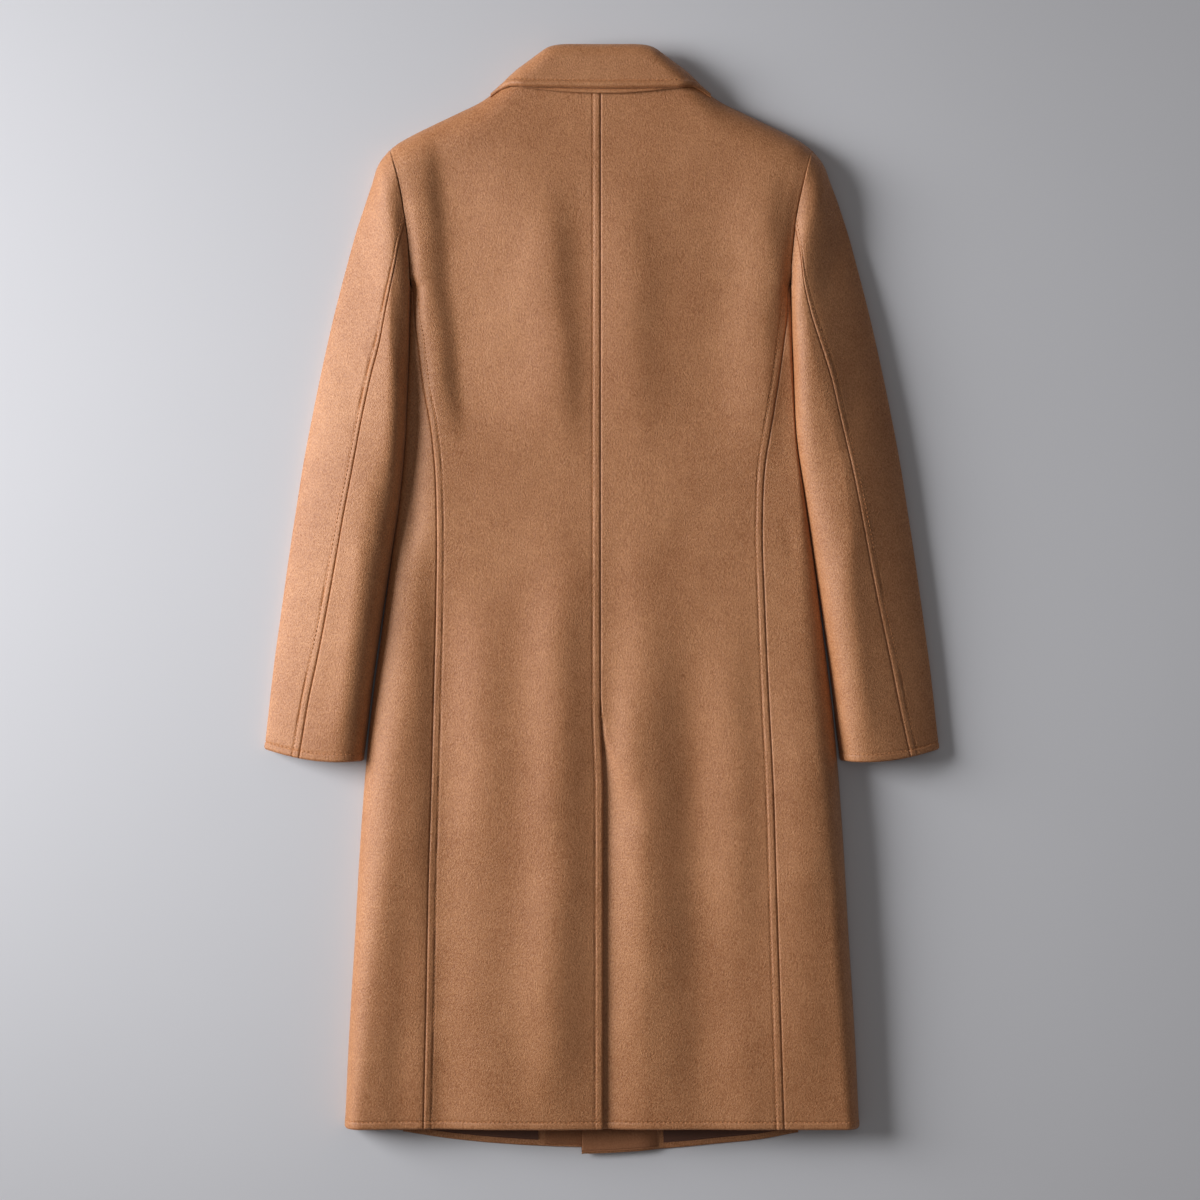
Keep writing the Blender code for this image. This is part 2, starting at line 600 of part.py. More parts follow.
def body_pieces(side, word, collection):
    back = back_points(side)
    normals = cloth_normals(back, 1, (FIRST_COLUMN, LAST_COLUMN, FIRST_ROW))
    beside = [r for r, row in enumerate(ROWS) if row > UNDERARM_DOWN]
    normals[beside, -1] = back_normals(back[beside, -1])
    wall("back_" + word, back, moved(back, normals, -CLOTH), WOOL_COLOUR, collection)

    panel = side_points(side)
    normals = cloth_normals(panel, (1, (10, 2)), (LAST_COLUMN, FIRST_ROW))
    normals[:, 0] = back_normals(panel[:, 0])
    wall("side_" + word, panel, moved(panel, normals, -CLOTH), WOOL_COLOUR, collection)

    front = front_points(side)
    normals = cloth_normals(front, -1, (FIRST_COLUMN, LAST_COLUMN, FIRST_ROW))
    wall("front_" + word, front, moved(front, normals, -CLOTH), WOOL_COLOUR, collection)

    rows = [r for r in range(len(ROWS)) if COAT_LENGTH / 2 - front[r, -1, 1] > FACING_TOP_DOWN]
    strip = front[rows, -FACING_COLUMNS:]
    strip_normals = normals[rows, -FACING_COLUMNS:]
    strip = shorten(strip, 2.5)
    below = moved(strip, strip_normals, -CLOTH - SEAM_GAP)
    above = moved(strip, strip_normals, -CLOTH - SEAM_GAP - FACING_CLOTH)
    wall("facing_" + word, above, below, FACING_COLOUR, collection)

    rows = rows[-3:]
    strip = shorten(front[rows, 1:-FACING_COLUMNS], 6.5)
    strip_normals = normals[rows, 1:-FACING_COLUMNS]
    below = moved(strip, strip_normals, -CLOTH - SEAM_GAP)
    above = moved(strip, strip_normals, -CLOTH - SEAM_GAP - LINING_CLOTH)
    wall("lining_" + word, above, below, LINING_COLOUR, collection)

    lapel = lapel_points(side)
    raised = lapel + np.array([0, 0, CLOTH])
    wall("lapel_" + word, lapel, raised, WOOL_COLOUR, collection)


def shorten(strip, distance):
    """The strip with its last row moved up from the hem."""
    strip = strip.copy()
    strip[-1, :, 1] += distance
    return strip


def build():
    for thing in list(bpy.data.objects):
        bpy.data.objects.remove(thing)
    collection = bpy.data.collections.new("overcoat")
    bpy.context.scene.collection.children.link(collection)
    for side, word in ((-1, "left"), (1, "right")):
        body_pieces(side, word, collection)
        sleeve_pieces(side, word, collection)
    collar_pieces(collection)
    stand = stand_points()
    normals = cloth_normals(stand, 1, (LAST_COLUMN,))
    wall("collar_stand", stand, moved(stand, normals, -COLLAR_CLOTH), WOOL_COLOUR, collection)


build()
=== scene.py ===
"""The overcoat's cloth as it shows: felted wool in thin shells on the solids' own form.

Lengths are millimetres until the meshes are made. "down" is the distance below the top of
the collar and "across" the distance from the centre back seam, as in the part's source.
"""
import math

import bpy
import numpy as np
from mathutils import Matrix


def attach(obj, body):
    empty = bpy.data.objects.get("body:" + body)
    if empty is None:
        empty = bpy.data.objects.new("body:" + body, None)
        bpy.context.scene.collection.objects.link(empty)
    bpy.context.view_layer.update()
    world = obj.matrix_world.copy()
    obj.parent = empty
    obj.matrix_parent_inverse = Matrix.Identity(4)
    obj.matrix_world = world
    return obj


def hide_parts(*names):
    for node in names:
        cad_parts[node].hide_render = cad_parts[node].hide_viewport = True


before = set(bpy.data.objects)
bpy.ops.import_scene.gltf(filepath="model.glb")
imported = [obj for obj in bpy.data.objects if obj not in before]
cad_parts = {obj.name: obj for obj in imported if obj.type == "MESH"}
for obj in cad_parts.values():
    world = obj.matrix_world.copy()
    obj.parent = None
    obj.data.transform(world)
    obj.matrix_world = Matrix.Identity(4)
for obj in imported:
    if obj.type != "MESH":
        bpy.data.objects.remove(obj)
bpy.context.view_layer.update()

MM = 0.001

# Driving dimensions, in millimetres
COAT_LENGTH = 1157.0        # top of the collar to the lowest corner of the fronts
CLOTH = 2.6                 # heavy wool cloth
COLLAR_CLOTH = 2.0
UNDER_COLLAR_CLOTH = 1.4
FACING_CLOTH = 1.5
LINING_CLOTH = 1.0
THINNEST = 0.4
SEAM_GAP = 0.3              # between two pieces that are sewn together
LAYER = 3.0                 # how far a front is lifted by one layer of cloth below it
LAPELS_END = {"across": (150, 35), "down": (440, 40)}  # where that lift ends, and its fade
OVERLAP_LIFT = 5.6          # lift of the right front over the left front and its facing
OVERLAP = {"until across": (40, 30), "after down": (310, 20)}  # where it is lifted, and the fade
FOLD_HEIGHT = 9.0           # height of the widest point of a rolled edge
UNDER_ROLL = 12.0           # how far the rolled edge reaches under the coat
ROLL_FULLNESS = 2.3         # a quarter circle has 2, a squarer edge more
UNDER_FULLNESS = 2
SHOULDER_TIP_DOWN = 108.0
ARMHOLE_END_DOWN = 248.0    # the last point at which the armhole seam is read
UNDERARM_DOWN = 250.0
BACK_HEM_DOWN = 1130.0
PANEL_LENGTH = BACK_HEM_DOWN - SHOULDER_TIP_DOWN
BACK_WIDTH = 190.0          # about the width of one back panel
NECK_SEAM_DOWN = 34.0
STAND_REACH = 70.0          # half width of the collar stand's back
VENT_TOP_DOWN = 700.0
VENT_ROWS = (700, 704)      # the rows of cloth on both sides of the vent's top
VENT_UNDERLAP = 38.0
VENT_LAP = 2.6              # how far the left back's edge lies past the centre
VENT_DROP = 4.4             # how far the underlap sinks beside that edge
VENT_SINKING = 20.0         # length above the vent's top over which it sinks
VENT_OPENING = 110.0        # length over which the vent opens
VENT_HOLLOW = ((-1, 4), (3, 44))    # its end across and its fade: at the vent's top, and what opening adds
VENT_LAP_START = (10, 90)   # the lap starts this far above the vent's top, and the fade
FRONT_TOP_DOWN = 46.0
FRONT_BREAK_DOWN = 338.0    # where the lapels end
LAPEL_TOP_DOWN = 115.0
LAPEL_LENGTH = 230          # length and width by which its points are spaced
LAPEL_WIDTH = 90
LAPEL_CLOSER = 0.85         # its rows stand a little closer towards its lower end
LAPEL_DIP = 5.0             # its top edge runs down this much towards its point
FACING_TOP_DOWN = 440.0
FACING_WIDTH = 78.0
FACING_ABOVE_HEM = 2.5
LINING_TOP_DOWN = 1010.0
LINING_ABOVE_HEM = 6.5
CUFF_OUTER_DOWN = 735.0
CUFF_INNER_DOWN = 747.0
SLEEVE_LENGTH = 640.0
SLEEVE_GIRTH = {"top_sleeve_": 150, "under_sleeve_": 110}  # about the width of each half round the arm
SLEEVE_FAN = 0.75           # the sleeve's rows spread faster at its inner edge
SLEEVE_SECTION = 98.0       # about the width of the sleeve as it lies
SLEEVE_HEAD_WIDER = 50.0
FORE_SEAM_SHARE = 0.70      # place of the seam under the sleeve, outer edge to inner edge
HIND_GAP = (0.09, 0.12, 0.3)    # half the gap at the hind seam in degrees, more at the head, its reach

# Outline of the body's top edge: collar roll, then shoulder line
TOP_LINE = (
    # across, down
    (0, 5.2), (24, 5.2), (40, 5.4), (48, 6.3), (56, 8.7), (62, 12.6), (70, 18.4), (78, 24.2), (86, 29.6),
    (92, 33.8), (101, 40.4), (111, 48.2), (124, 57.2), (150, 70), (176, 82.4), (201, 95),
    (212, 101.4), (220.5, 108),
)
# Height and roll radius of that edge
TOP_EDGE = (
    # across, edge height, roll radius
    (0, 19, 12), (45, 19, 11), (70, 16, 14), (95, 12, 22), (125, 10, 34), (221, 9, 38),
)
BODY_HEIGHT = (
    # down, height of the upper surface
    (0, 25), (34, 26), (110, 32), (250, 31), (430, 27), (560, 26), (750, 30), (950, 33), (1130, 31),
)
SIDE_FOLD = (
    # down, across
    (250, 197.4), (280, 199.3), (318, 201.5), (365, 204.5), (413, 207.5), (475, 213.5), (537, 221.5),
    (615, 230.5), (694, 240), (824, 250.5), (928, 256.5), (1032, 263), (1130, 267.7),
)
BACK_OUTER_SEAM = (
    # down, left, right: armhole, then the seam to the side panel
    (108, 220.4, 220.6), (130, 213.6, 214.6), (155, 208, 208.5), (178, 204.2, 203.8),
    (205, 200.8, 200.8), (230, 199.4, 198.8), (246, 198.6, 198.5), (250, 198.2, 198.1), (256, 196.6, 196.4),
    (268, 195.6, 195.4), (285, 194.4, 194.2), (308, 191, 191.2), (358, 184.8, 184.2), (400, 177, 177.4),
    (438, 172.8, 171.4), (500, 170.7, 168.6), (594, 171.8, 171.4), (680, 173.9, 175),
    (776, 176.3, 179.7), (871, 179.1, 182.6), (996, 181.4, 186.6), (1130, 184.4, 191),
)
FRONT_SIDE_SEAM = (
    # down, across: the seam between front and side panel, underneath
    (256, 180), (300, 172), (413, 164), (537, 170), (694, 183), (928, 197), (1130, 207.5),
)
FRONT_EDGE = (
    # down, reach from the centre on the front's own side
    (46, 75), (120, 57), (200, 37.5), (280, 18), (338, 3), (380, -12), (420, -21), (470, -22), (1157, -20),
)
FRONT_HEM = (
    # across, left, right
    (-22, 1154, 1159), (8, 1153, 1158), (47, 1152, 1155.5), (87, 1150, 1152.5),
    (127, 1147, 1148.5), (167, 1142.5, 1144.5), (205, 1136.5, 1137.5), (240, 1130.5, 1131.5),
)
LAPEL_EDGE = (
    # down, across
    (114, 134), (124, 140), (160, 135), (220, 108), (280, 68), (338, 24),
)
COLLAR_EDGE = (
    # across, left fall, right fall, end of the under side
    (0, 47.4, 47.4, 10), (16, 47, 47.4, 10), (40, 46.6, 47, 14), (55, 46.4, 46.8, 46), (66, 46.4, 46.6, 96),
    (78, 46, 46.4, 108), (88, 45.4, 46, 102), (97, 45.4, 46, 96), (105, 48, 48.4, 82), (111, 52, 52.2, 70),
    (115, 54.8, 54.8, 62),
)
UNDER_COLLAR_EDGE = (
    # across, how far it shows below the collar's edge
    (0, 4.8), (30, 4.4), (55, 2.6), (70, 1.0), (84, 0.4),
)
SLEEVE_OUTER = (
    # down, across
    (108, 220.8), (120, 230.5), (146, 240), (172, 248.7), (198, 257), (224, 264), (276, 277.5),
    (328, 289.4), (381, 300.4), (433, 310.3), (485, 318.6), (537, 326.5), (589, 333.8), (641, 341),
    (733, 351.5),
)
SLEEVE_INNER_GAP = (
    # down, gap between the sleeve's inner edge and the side fold
    (250, 0.1), (330, 0.1), (500, 0.1), (540, 0.3), (580, 1.0), (640, 1.8), (725, 2.0), (750, 3),
)
SLEEVE_FORM = (
    # along, height, bow of the row toward the cuff, edge height
    (0, 31, 0, 9), (0.12, 34, 2, 10), (0.4, 35, 3, 11), (0.7, 33, 4, 11), (1, 28, 5, 10),
)
HIND_SEAM = (
    # along the sleeve, left share, right share of the way from outer to inner edge
    (0, 0.54, 0.58), (0.04, 0.535, 0.625), (0.11, 0.528, 0.61), (0.18, 0.535, 0.56), (0.24, 0.512, 0.525),
    (0.32, 0.492, 0.51), (0.43, 0.488, 0.483), (0.55, 0.478, 0.467), (0.68, 0.462, 0.44),
    (0.8, 0.43, 0.395), (0.89, 0.392, 0.36), (1, 0.362, 0.302),
)
# The folds of the back: ridges and hollows with soft ends, each steeper on one side
FOLDS = (
    # name, from across, from down, to across, to down, width to the left, width to the right, rise, fade
    ("armhole_ridge_left", -189, 100, -158, 430, 18, 14, 1.6, 80),
    ("armhole_hollow_left", -171, 70, -137, 430, 13, 46, -5.6, 80),
    ("waist_side_left", -188, 270, -204, 570, 30, 14, -6.0, 90),
    ("blade_left", -59, 110, -36, 450, 34, 21, 5.8, 110),
    ("blade_right", 32, 110, 34, 450, 36, 28, 4.6, 120),
    ("shoulder_right", 178, 100, 163, 460, 40, 16, 4.8, 100),
    ("shoulder_hollow_right", 136, 130, 120, 470, 34, 30, -1.8, 110),
    ("skirt_left", -206, 600, -228, 980, 26, 22, 2.4, 160),
    ("skirt_hollow_left", -170, 500, -167, 1240, 16, 32, -5.8, 140),
    ("side_hollow_left", -194, 840, -212, 1240, 18, 24, -3.2, 120),
    ("skirt_mid_left", -124, 540, -118, 900, 30, 30, 3.0, 140),
    ("skirt_centre_left", -40, 460, -53, 1200, 30, 30, 7.6, 200),
    ("vent_hollow", 4, 640, 6, 1240, 18, 14, -1.4, 110),
    ("skirt_centre_right", 42, 400, 48, 1150, 26, 32, 6.4, 330),
    ("skirt_hollow_right", 96, 600, 110, 1200, 24, 30, -3.4, 160),
    ("skirt_mid_right", 132, 560, 146, 980, 30, 24, 3.4, 140),
    ("skirt_right", 201, 580, 213, 1150, 28, 30, 3.2, 140),
    ("hip_right", 217, 640, 226, 980, 36, 17, 2.8, 150),
)
SIDE_ROLLS = (
    # down, reach of the rolled side over the back: left, right
    (250, 26, 14), (300, 24, 6), (360, 24, 2.5), (430, 22, 2.5), (490, 26, 9), (560, 36, 20), (640, 42, 26),
    (780, 40, 21), (950, 33, 21), (1060, 24, 20), (1130, 20, 16),
)
SIDE_SHIFTS = (
    # down, how far the side folds of the worn coat lie beyond the plain ones: left, right
    (250, 1.0, 0.9), (330, -2.2, -2.2), (412, -3.5, -3.5), (475, -3.5, 0), (540, -2.5, 1.2), (610, -1, 2.4),
    (690, 0, 2.8), (1130, 0, 2.8),
)
SIDE_RISES = (
    # down, how much higher than the plain ones the side folds lie, pressed up by the sleeves: left, right
    (190, 0, 0), (250, 10, 12), (300, 10, 15), (360, 9, 15), (440, 6, 12), (520, 3, 6), (600, 0, 0),
    (1130, 0, 0),
)
RISE_REACH = 60.0           # how far in from the side fold that rise fades out
ABOVE_UNDERARM = 2.2        # above the underarm the side's roll ends this much sooner
TUCK = 3.0                  # the sleeve's inner edge lies this much lower than the side fold
SLEEVE_WIDER = 2.4          # the right sleeve reaches this much farther out
SLEEVE_WIDER_FADE = 60.0
# Finer folds of the cloth, given one by one: a soft ridge or hollow between two points
CREASES = (
    # name, from across, from down, to across, to down, half width, rise
    ("blade_slope_left", -188, 150, -150, 400, 15, -1.4),
    ("armhole_pull_left", -176, 190, -158, 300, 8, -0.7),
    ("armhole_pull_right", 182, 200, 168, 300, 8, -0.6),
    ("neck_hollow", 2, 50, 0, 150, 60, -1.2),
    ("waist_pull_right", 190, 480, 206, 560, 9, -1.6),
    ("waist_pull_left", -192, 470, -208, 560, 9, -1.2),
    ("vent_strain_left", -30, 670, -44, 740, 10, 1.0),
    ("vent_strain_right", 24, 640, 34, 800, 12, 1.2),
    ("hem_wave_left", -110, 1010, -104, 1180, 26, 1.3),
    ("hem_wave_right", 150, 1000, 156, 1180, 22, 1.2),
)
CREASE_END = 60.0
FOLD_SWAY = 0.1             # how far a fold's line sways, as a share of its width
CREASE_SWAY = 0.12
WORN_IN = 30.0              # the fine folds fade out this close to the outline
# How deep the armhole seam lies, by distance down
ARMHOLE_DOWN = (108, 150, 200, 235, 250, 275, 330)
ARMHOLE_DEPTH = (0.4, 1.4, 3.6, 5.0, 5.0, 3.8, 0)
ARMHOLE_SPREAD = {"body": 8.0, "sleeve": 9.0}
SLEEVE_CREASES = (
    # name, side, from along, from share, to along, to share, half width as a share, rise
    ("head_left", -1, 0.05, 0.35, 0.34, 0.42, 0.12, 1.0),
    ("head_right", 1, 0.05, 0.45, 0.36, 0.5, 0.12, 1.0),
    ("fore_left", -1, 0.5, 0.72, 0.95, 0.74, 0.12, 1.2),
    ("fore_right", 1, 0.5, 0.70, 0.95, 0.74, 0.12, 1.2),
)
SLEEVE_CREASE_END = 0.08
SLEEVE_CROWN = (
    # along, place of the crown from the outer edge to the inner one: left, right
    (0, 0.45, 0.55), (0.07, 0.52, 0.66), (0.12, 0.62, 0.70), (0.18, 0.73, 0.68), (0.3, 0.78, 0.62),
    (0.4, 0.71, 0.58), (0.5, 0.70, 0.60), (0.62, 0.73, 0.68), (0.75, 0.75, 0.7), (1, 0.72, 0.68),
)
SLEEVE_SLOPES = ((1.35, 0.75), (2.6, 0.5))  # powers of the slopes outside and inside the crown
SLEEVE_FULL = 5.5           # how much fuller the sleeves lie than the plain solids
SLEEVE_CAP = {-1: 4.8, 1: 8.5}  # rise of the sleeve head beside the armhole seam: left, right
CAP_WIDTH = 36.0
HEAD_RUN = 520.0            # beside the head, along counts from 0 to 1 over this length

# How the cloth is worked at its edges
CELL = 4.4                  # side of a cell of the grids
SLEEVE_CELL = 3.4           # the same round a sleeve
NEAR_EDGE = (0.45, 1, 1.7, 2.6, 3.8, 5.2, 6.5, 7.3, 8, 8.7, 9.6, 11.2, 13.6)
SHARP_ANGLE = 1.1           # radians between two faces that keep a hard edge
TOPSTITCH = 8.0             # from a seam or an edge to its row of stitches
SEAM_DEPTH = 0.8
SEAM_WIDTH = 0.75
ARMHOLE_SEAM_DOWN = (120, 190, 245, 262)
ARMHOLE_SEAM_DEEPER = (0.5, 0.9, 1.5, 1)
WELT_RISE = 0.5             # the seam allowances that lie under the topstitching
WELT_START = 2.2
WELT_END = 1.8
GROOVE_DEPTH = 0.68
GROOVE_WIDTH = 0.8
GROOVE_DEEPER = 1.76        # this much deeper along the left sleeve's hind seam
BESIDE_GROOVE = (0.12, 1.5, 6.0)  # rise of the cloth past the groove, its start and its reach
EVENNESS = (0.75, 0.35)     # share of the work that is even, and share that varies with the hand
EDGE_ROUND = 1.9            # radius of a turned edge
EDGE_DROP = 0.9             # share of that radius by which the edge drops
STITCH_PITCH = 4.6
STITCH_LENGTH = 3.3
STITCH_START = 2.0
STITCH_FORM = (
    # share of the stitch's length, lift of the thread, share of its thickness
    (0, -0.6, 0.5), (0.16, 0.1, 0.95), (0.5, 0.42, 1.0), (0.84, 0.1, 0.95), (1, -0.6, 0.5),
)
THREAD = 0.32               # radius of the sewing thread
THREAD_SIDES = 5
THREAD_FLATNESS = 1.25
# Where rows of topstitching run, as distances down
BACK_SEAM_ROW = (262, 1140)
FRONT_EDGE_ROW = (345, 1170)
LAPEL_ROW = (125, 330)
ROW_FADE = 6.0

# The collar
COLLAR_POINT = 115.0        # from the centre to the collar's points
COLLAR_BEND = 108.0         # beyond this the collar's sections stand closer
COLLAR_FALL = 42.0          # about the depth of its upper side
COLLAR_SECTIONS = (70, 9)   # sections from its centre to the bend, and on to the point
COLLAR_ROWS = 16            # rows up to the roll past the close ones at its edge, and as many below
ROLL_STEP = 7               # steps from its edge to the roll
UNDER_STEPS = 6             # and from the roll on to its end
UNDER_COLLAR_END = 86.0
UNDER_COLLAR_FADE = (4, 20)     # the top collar comes down this far before that end, and the fade
COLLAR_REST = 0.5           # the least that it stands off the back
COLLAR_LIFT = 2.3           # how far more its edge stands off the back
COLLAR_LOW = (92, 18)       # where its edge comes down to the back, and the fade
GAP_CLOSED = (6, 4)         # step from which the gap below it closes round the roll, and the fade
COLLAR_ROUND = 3.2          # radius of its edge
COLLAR_EDGE_DROP = 1.2
COLLAR_BULGE = (1.1, 3.8, 3.0)  # rise of the cloth beside its edge, the rise's place and reach
COLLAR_WELT = 1.3           # its topstitching stands out more than the body's
COLLAR_WORK_END = (106, 12)     # where its edge's stitching and rise end, and the fade
COLLAR_INNER_SHARE = 0.75   # share of its edge's rounding that its inner face has too
COLLAR_TAPER = 0.9          # it is thinner at its points
COLLAR_THIN = (98, 16)      # where that starts, and the fade
COLLAR_ROW_END = 104.0
ON_FLOOR = 0.01             # a point this low lies on the floor
NECK_LIFT = (14.0, 36, 30)  # height of its underside above the fronts, how far across, fade
UNDER_COLLAR_RIM = (1, 0.9, 0.75, 0.55, 0.3)    # rows of the strip that shows, as shares of its width
UNDER_COLLAR_TURN = (1.4, 0.7)  # how many times narrower its edge's rounding is, and how deep
UNDER_COLLAR_CREASE = 1.1   # depth and width of the crease where it comes out below the top collar
COLLAR_LEAST_UNDER = 6.0    # its underside reaches at least this far
STAND_TOP = 1.2             # the stand starts this far below the roll
STAND_LEAST = 1.5           # and is at least this deep
STAND_LOWER = 0.2           # the stand lies this much below the back's surface
STAND_GRID = (60, 14)       # its points across and down
STAND_CLOSER = 1.6          # its rows stand closer towards the roll

# Grids and edges of single pieces. First, how the underlap's columns shift under the left back
UNDERLAP_SHARES = (0, 0.0024, 0.005, 0.009, 0.0137, 0.02, 0.0274, 1)
UNDERLAP_SHIFTS = (1, 0.88, 0.72, 0.5, 0.26, 0.08, 0, 0)
# Rows at the top of a side panel, and its columns beside the back seam
SIDE_TOP_ROWS = (250.6, 251, 251.8, 253)
SIDE_COLUMNS = (0, 0.006, 0.013, 0.023, 0.036, 0.053, 0.08)
SIDE_REST = (0.94, 20)      # root of the share that is left to the side fold, and its columns
SIDE_UNDER = 16             # columns from the side fold to the front seam
HEM_DROP = 5.0              # the fronts' hem hangs this much lower than the back's
HEM_DROP_START = 130.0      # from this far above the hem
STRIP_TOP = 0.55            # share of its width that the front's edge strip has at the neck
STRIP_WIDENS = 250.0
NECKLINE = (9.5, 75, 17)    # drop of the fronts' top under the collar, how far across, fade

# Finishes, with linear colours
FINISHES = (
    # name, light, deep, fibre, mottle, bump strength and distance, roughness, specular, sheen, sheen tint
    ("camel_wool", (0.63, 0.290, 0.126), (0.32, 0.104, 0.026), 1.1, 0.9,
     0.9, 0.001, 0.5, 0.55, 0.12, (1.0, 0.9, 0.75)),
    # The facing's wool is the camel wool painted darker: painted shade for where it lies inside the hem,
    # under the back's hem
    ("facing_wool_painted_shade", (0.42, 0.185, 0.09), (0.27, 0.11, 0.05), 0.8, 0.6,
     0.6, 0.001, 0.92, 0.15, 0.2, (1.0, 0.80, 0.62)),
    ("lining_twill", (0.17, 0.08, 0.055), (0.12, 0.055, 0.036), 0.3, 0.4,
     0.2, 0.0005, 0.5, 0.15, 0.1, (1.0, 0.85, 0.75)),
    ("sewing_thread", (0.62, 0.285, 0.125), (0.5, 0.21, 0.085), 0.6, 0.3,
     0.3, 0.0004, 0.7, 0.15, 0.0, (1.0, 0.85, 0.7)),
)
SHEEN_ROUGHNESS = 0.45
NAP = {"turn": 0.1, "length": 0.66}  # the fibres' direction, in radians, and how they stretch along it
WOOL_SCALES = {"fibres": 1150, "clumps": 680, "pile": 70, "slow": 9}
FLOOR_LIGHT = (0.70, 0.695, 0.72)
FLOOR_DARK = (0.68, 0.675, 0.70)

# Studio, in metres and watts
CAMERA_PLACE = (-0.0007, -0.0004, 3.2)
PHOTO_PLANE = 0.02          # height at which the photo's width is measured
PHOTO_WIDTH = 1.2516
SENSOR_WIDTH = 36.0
FLOOR_HALF = 6.0
AMBIENT = 0.125
AMBIENT_COLOUR = (1.0, 0.97, 0.95)
LIGHTS = (
    # name, place, aim, size, power, spread in degrees, colour
    ("key", (-2.6, 0.58, 1.12), (-0.45, 0.1, 0.0), (1.5, 1.5), 25.0, 75, (0.985, 1.0, 1.02)),
    ("overhead", (0.3, 0.3, 3.6), (0.0, 0.0, 0.0), (2.2, 2.2), 5.0, 180, (0.95, 0.97, 1.0)),
)


def curve(table, column):
    """A smooth curve through one column of a table, read by the table's first column."""
    stations = np.array([row[0] for row in table], float)
    values = np.array([row[column] for row in table], float)
    slopes = np.gradient(values, stations)

    def value(at):
        at = np.clip(np.asarray(at, float), stations[0], stations[-1])
        k = np.clip(np.searchsorted(stations, at) - 1, 0, len(stations) - 2)
        span = stations[k + 1] - stations[k]
        t = (at - stations[k]) / span
        start = (2 * t**3 - 3 * t**2 + 1) * values[k] + (t**3 - 2 * t**2 + t) * span * slopes[k]
        end = (3 * t**2 - 2 * t**3) * values[k + 1] + (t**3 - t**2) * span * slopes[k + 1]
        return start + end

    return value


def two_curves(table):
    """The curves of the two columns after the first: the left half's and the right half's."""
    return {-1: curve(table, 1), 1: curve(table, 2)}


top_line = curve(TOP_LINE, 1)
top_edge_height = curve(TOP_EDGE, 1)
top_edge_roll = curve(TOP_EDGE, 2)
body_height = curve(BODY_HEIGHT, 1)
side_fold = curve(SIDE_FOLD, 1)
back_outer_seam = two_curves(BACK_OUTER_SEAM)
front_side_seam = curve(FRONT_SIDE_SEAM, 1)
front_edge = curve(FRONT_EDGE, 1)
front_hem = two_curves(FRONT_HEM)
lapel_edge = curve(LAPEL_EDGE, 1)
collar_fall = two_curves(COLLAR_EDGE)
collar_end = curve(COLLAR_EDGE, 3)
under_collar_edge = curve(UNDER_COLLAR_EDGE, 1)
sleeve_outer = curve(SLEEVE_OUTER, 1)
sleeve_inner_gap = curve(SLEEVE_INNER_GAP, 1)
sleeve_height = curve(SLEEVE_FORM, 1)
sleeve_bow = curve(SLEEVE_FORM, 2)
sleeve_edge_height = curve(SLEEVE_FORM, 3)
hind_seam = two_curves(HIND_SEAM)
side_roll = two_curves(SIDE_ROLLS)
side_shift = two_curves(SIDE_SHIFTS)
side_rise = two_curves(SIDE_RISES)
sleeve_crown = two_curves(SLEEVE_CROWN)


def smooth(t):
    """Rises softly from 0 to 1 as t goes from 0 to 1."""
    t = np.clip(t, 0, 1)
    return t * t * (3 - 2 * t)


def after(value, start, fade):
    """0 up to a start, then softly up to 1 over a fade."""
    return smooth((value - start) / fade)


def until(value, end, fade):
    """1 up to an end, then softly down to 0 over a fade."""
    return 1 - smooth((value - end) / fade)


def between(value, start, end, fade):
    """1 between two places, with a soft fade inside each."""
    return smooth((value - start) / fade) * smooth((end - value) / fade)


def rolled(distance, radius, fullness=ROLL_FULLNESS):
    """Height of a rolled edge as a share of the full height, upright at the edge itself."""
    t = np.clip(np.asarray(distance, float) / radius, 0, 1)
    return np.sqrt(1 - (1 - t) ** fullness)


def top_distance(across, down):
    """Distance of a point from the outline of collar and shoulders."""
    across = np.asarray(across, float)
    down = np.asarray(down, float)
    nearest = np.full(np.broadcast(across, down).shape, 1e9)
    fine = np.linspace(0, TOP_LINE[-1][0], 90)
    line = top_line(fine)
    for a, b, c, d in zip(fine[:-1], line[:-1], fine[1:], line[1:]):
        along = ((across - a) * (c - a) + (down - b) * (d - b)) / ((c - a) ** 2 + (d - b) ** 2)
        along = np.clip(along, 0, 1)
        reach = np.hypot(across - a - along * (c - a), down - b - along * (d - b))
        nearest = np.minimum(nearest, reach)
    return nearest


def on_side(x, pair, down):
    """A value that differs between the left and the right half."""
    return np.where(np.asarray(x) < 0, pair[-1](down), pair[1](down))


def fold_reach(x, down):
    """Distance of the side fold from the centre."""
    return side_fold(down) + on_side(x, side_shift, down)


def side_distance(x, down):
    """Distance of a point from the side fold, which starts at the underarm."""
    across = np.abs(x)
    below = fold_reach(x, down) - across
    above = ABOVE_UNDERARM * np.hypot(side_fold(UNDERARM_DOWN) - across, UNDERARM_DOWN - down)
    return np.where(down >= UNDERARM_DOWN, below, above)


def relief(x, down):
    """Sum of the back's folds."""
    total = np.zeros(np.broadcast(x, down).shape)
    for _, x_from, down_from, x_to, down_to, left, right, rise, fade in FOLDS:
        share = np.clip((down - down_from) / (down_to - down_from), 0, 1)
        sway = FOLD_SWAY * left * uneven(down * 0.35, rise)
        offset = x - (x_from + (x_to - x_from) * share) - sway
        offset = np.where(offset < 0, offset / left, offset / right)
        total = total + rise * between(down, down_from, down_to, fade) * np.exp(-offset**2)
    return total


def back_height(x, down):
    """Height of the coat's upper surface."""
    across = np.abs(x)
    near = until(fold_reach(x, down) - across, 0, RISE_REACH)
    low = top_edge_height(across) + on_side(x, side_rise, down) * near
    top = rolled(top_distance(across, down), top_edge_roll(across))
    side = rolled(side_distance(x, down), on_side(x, side_roll, down))
    return low + top * side * (body_height(down) - low + relief(x, down))


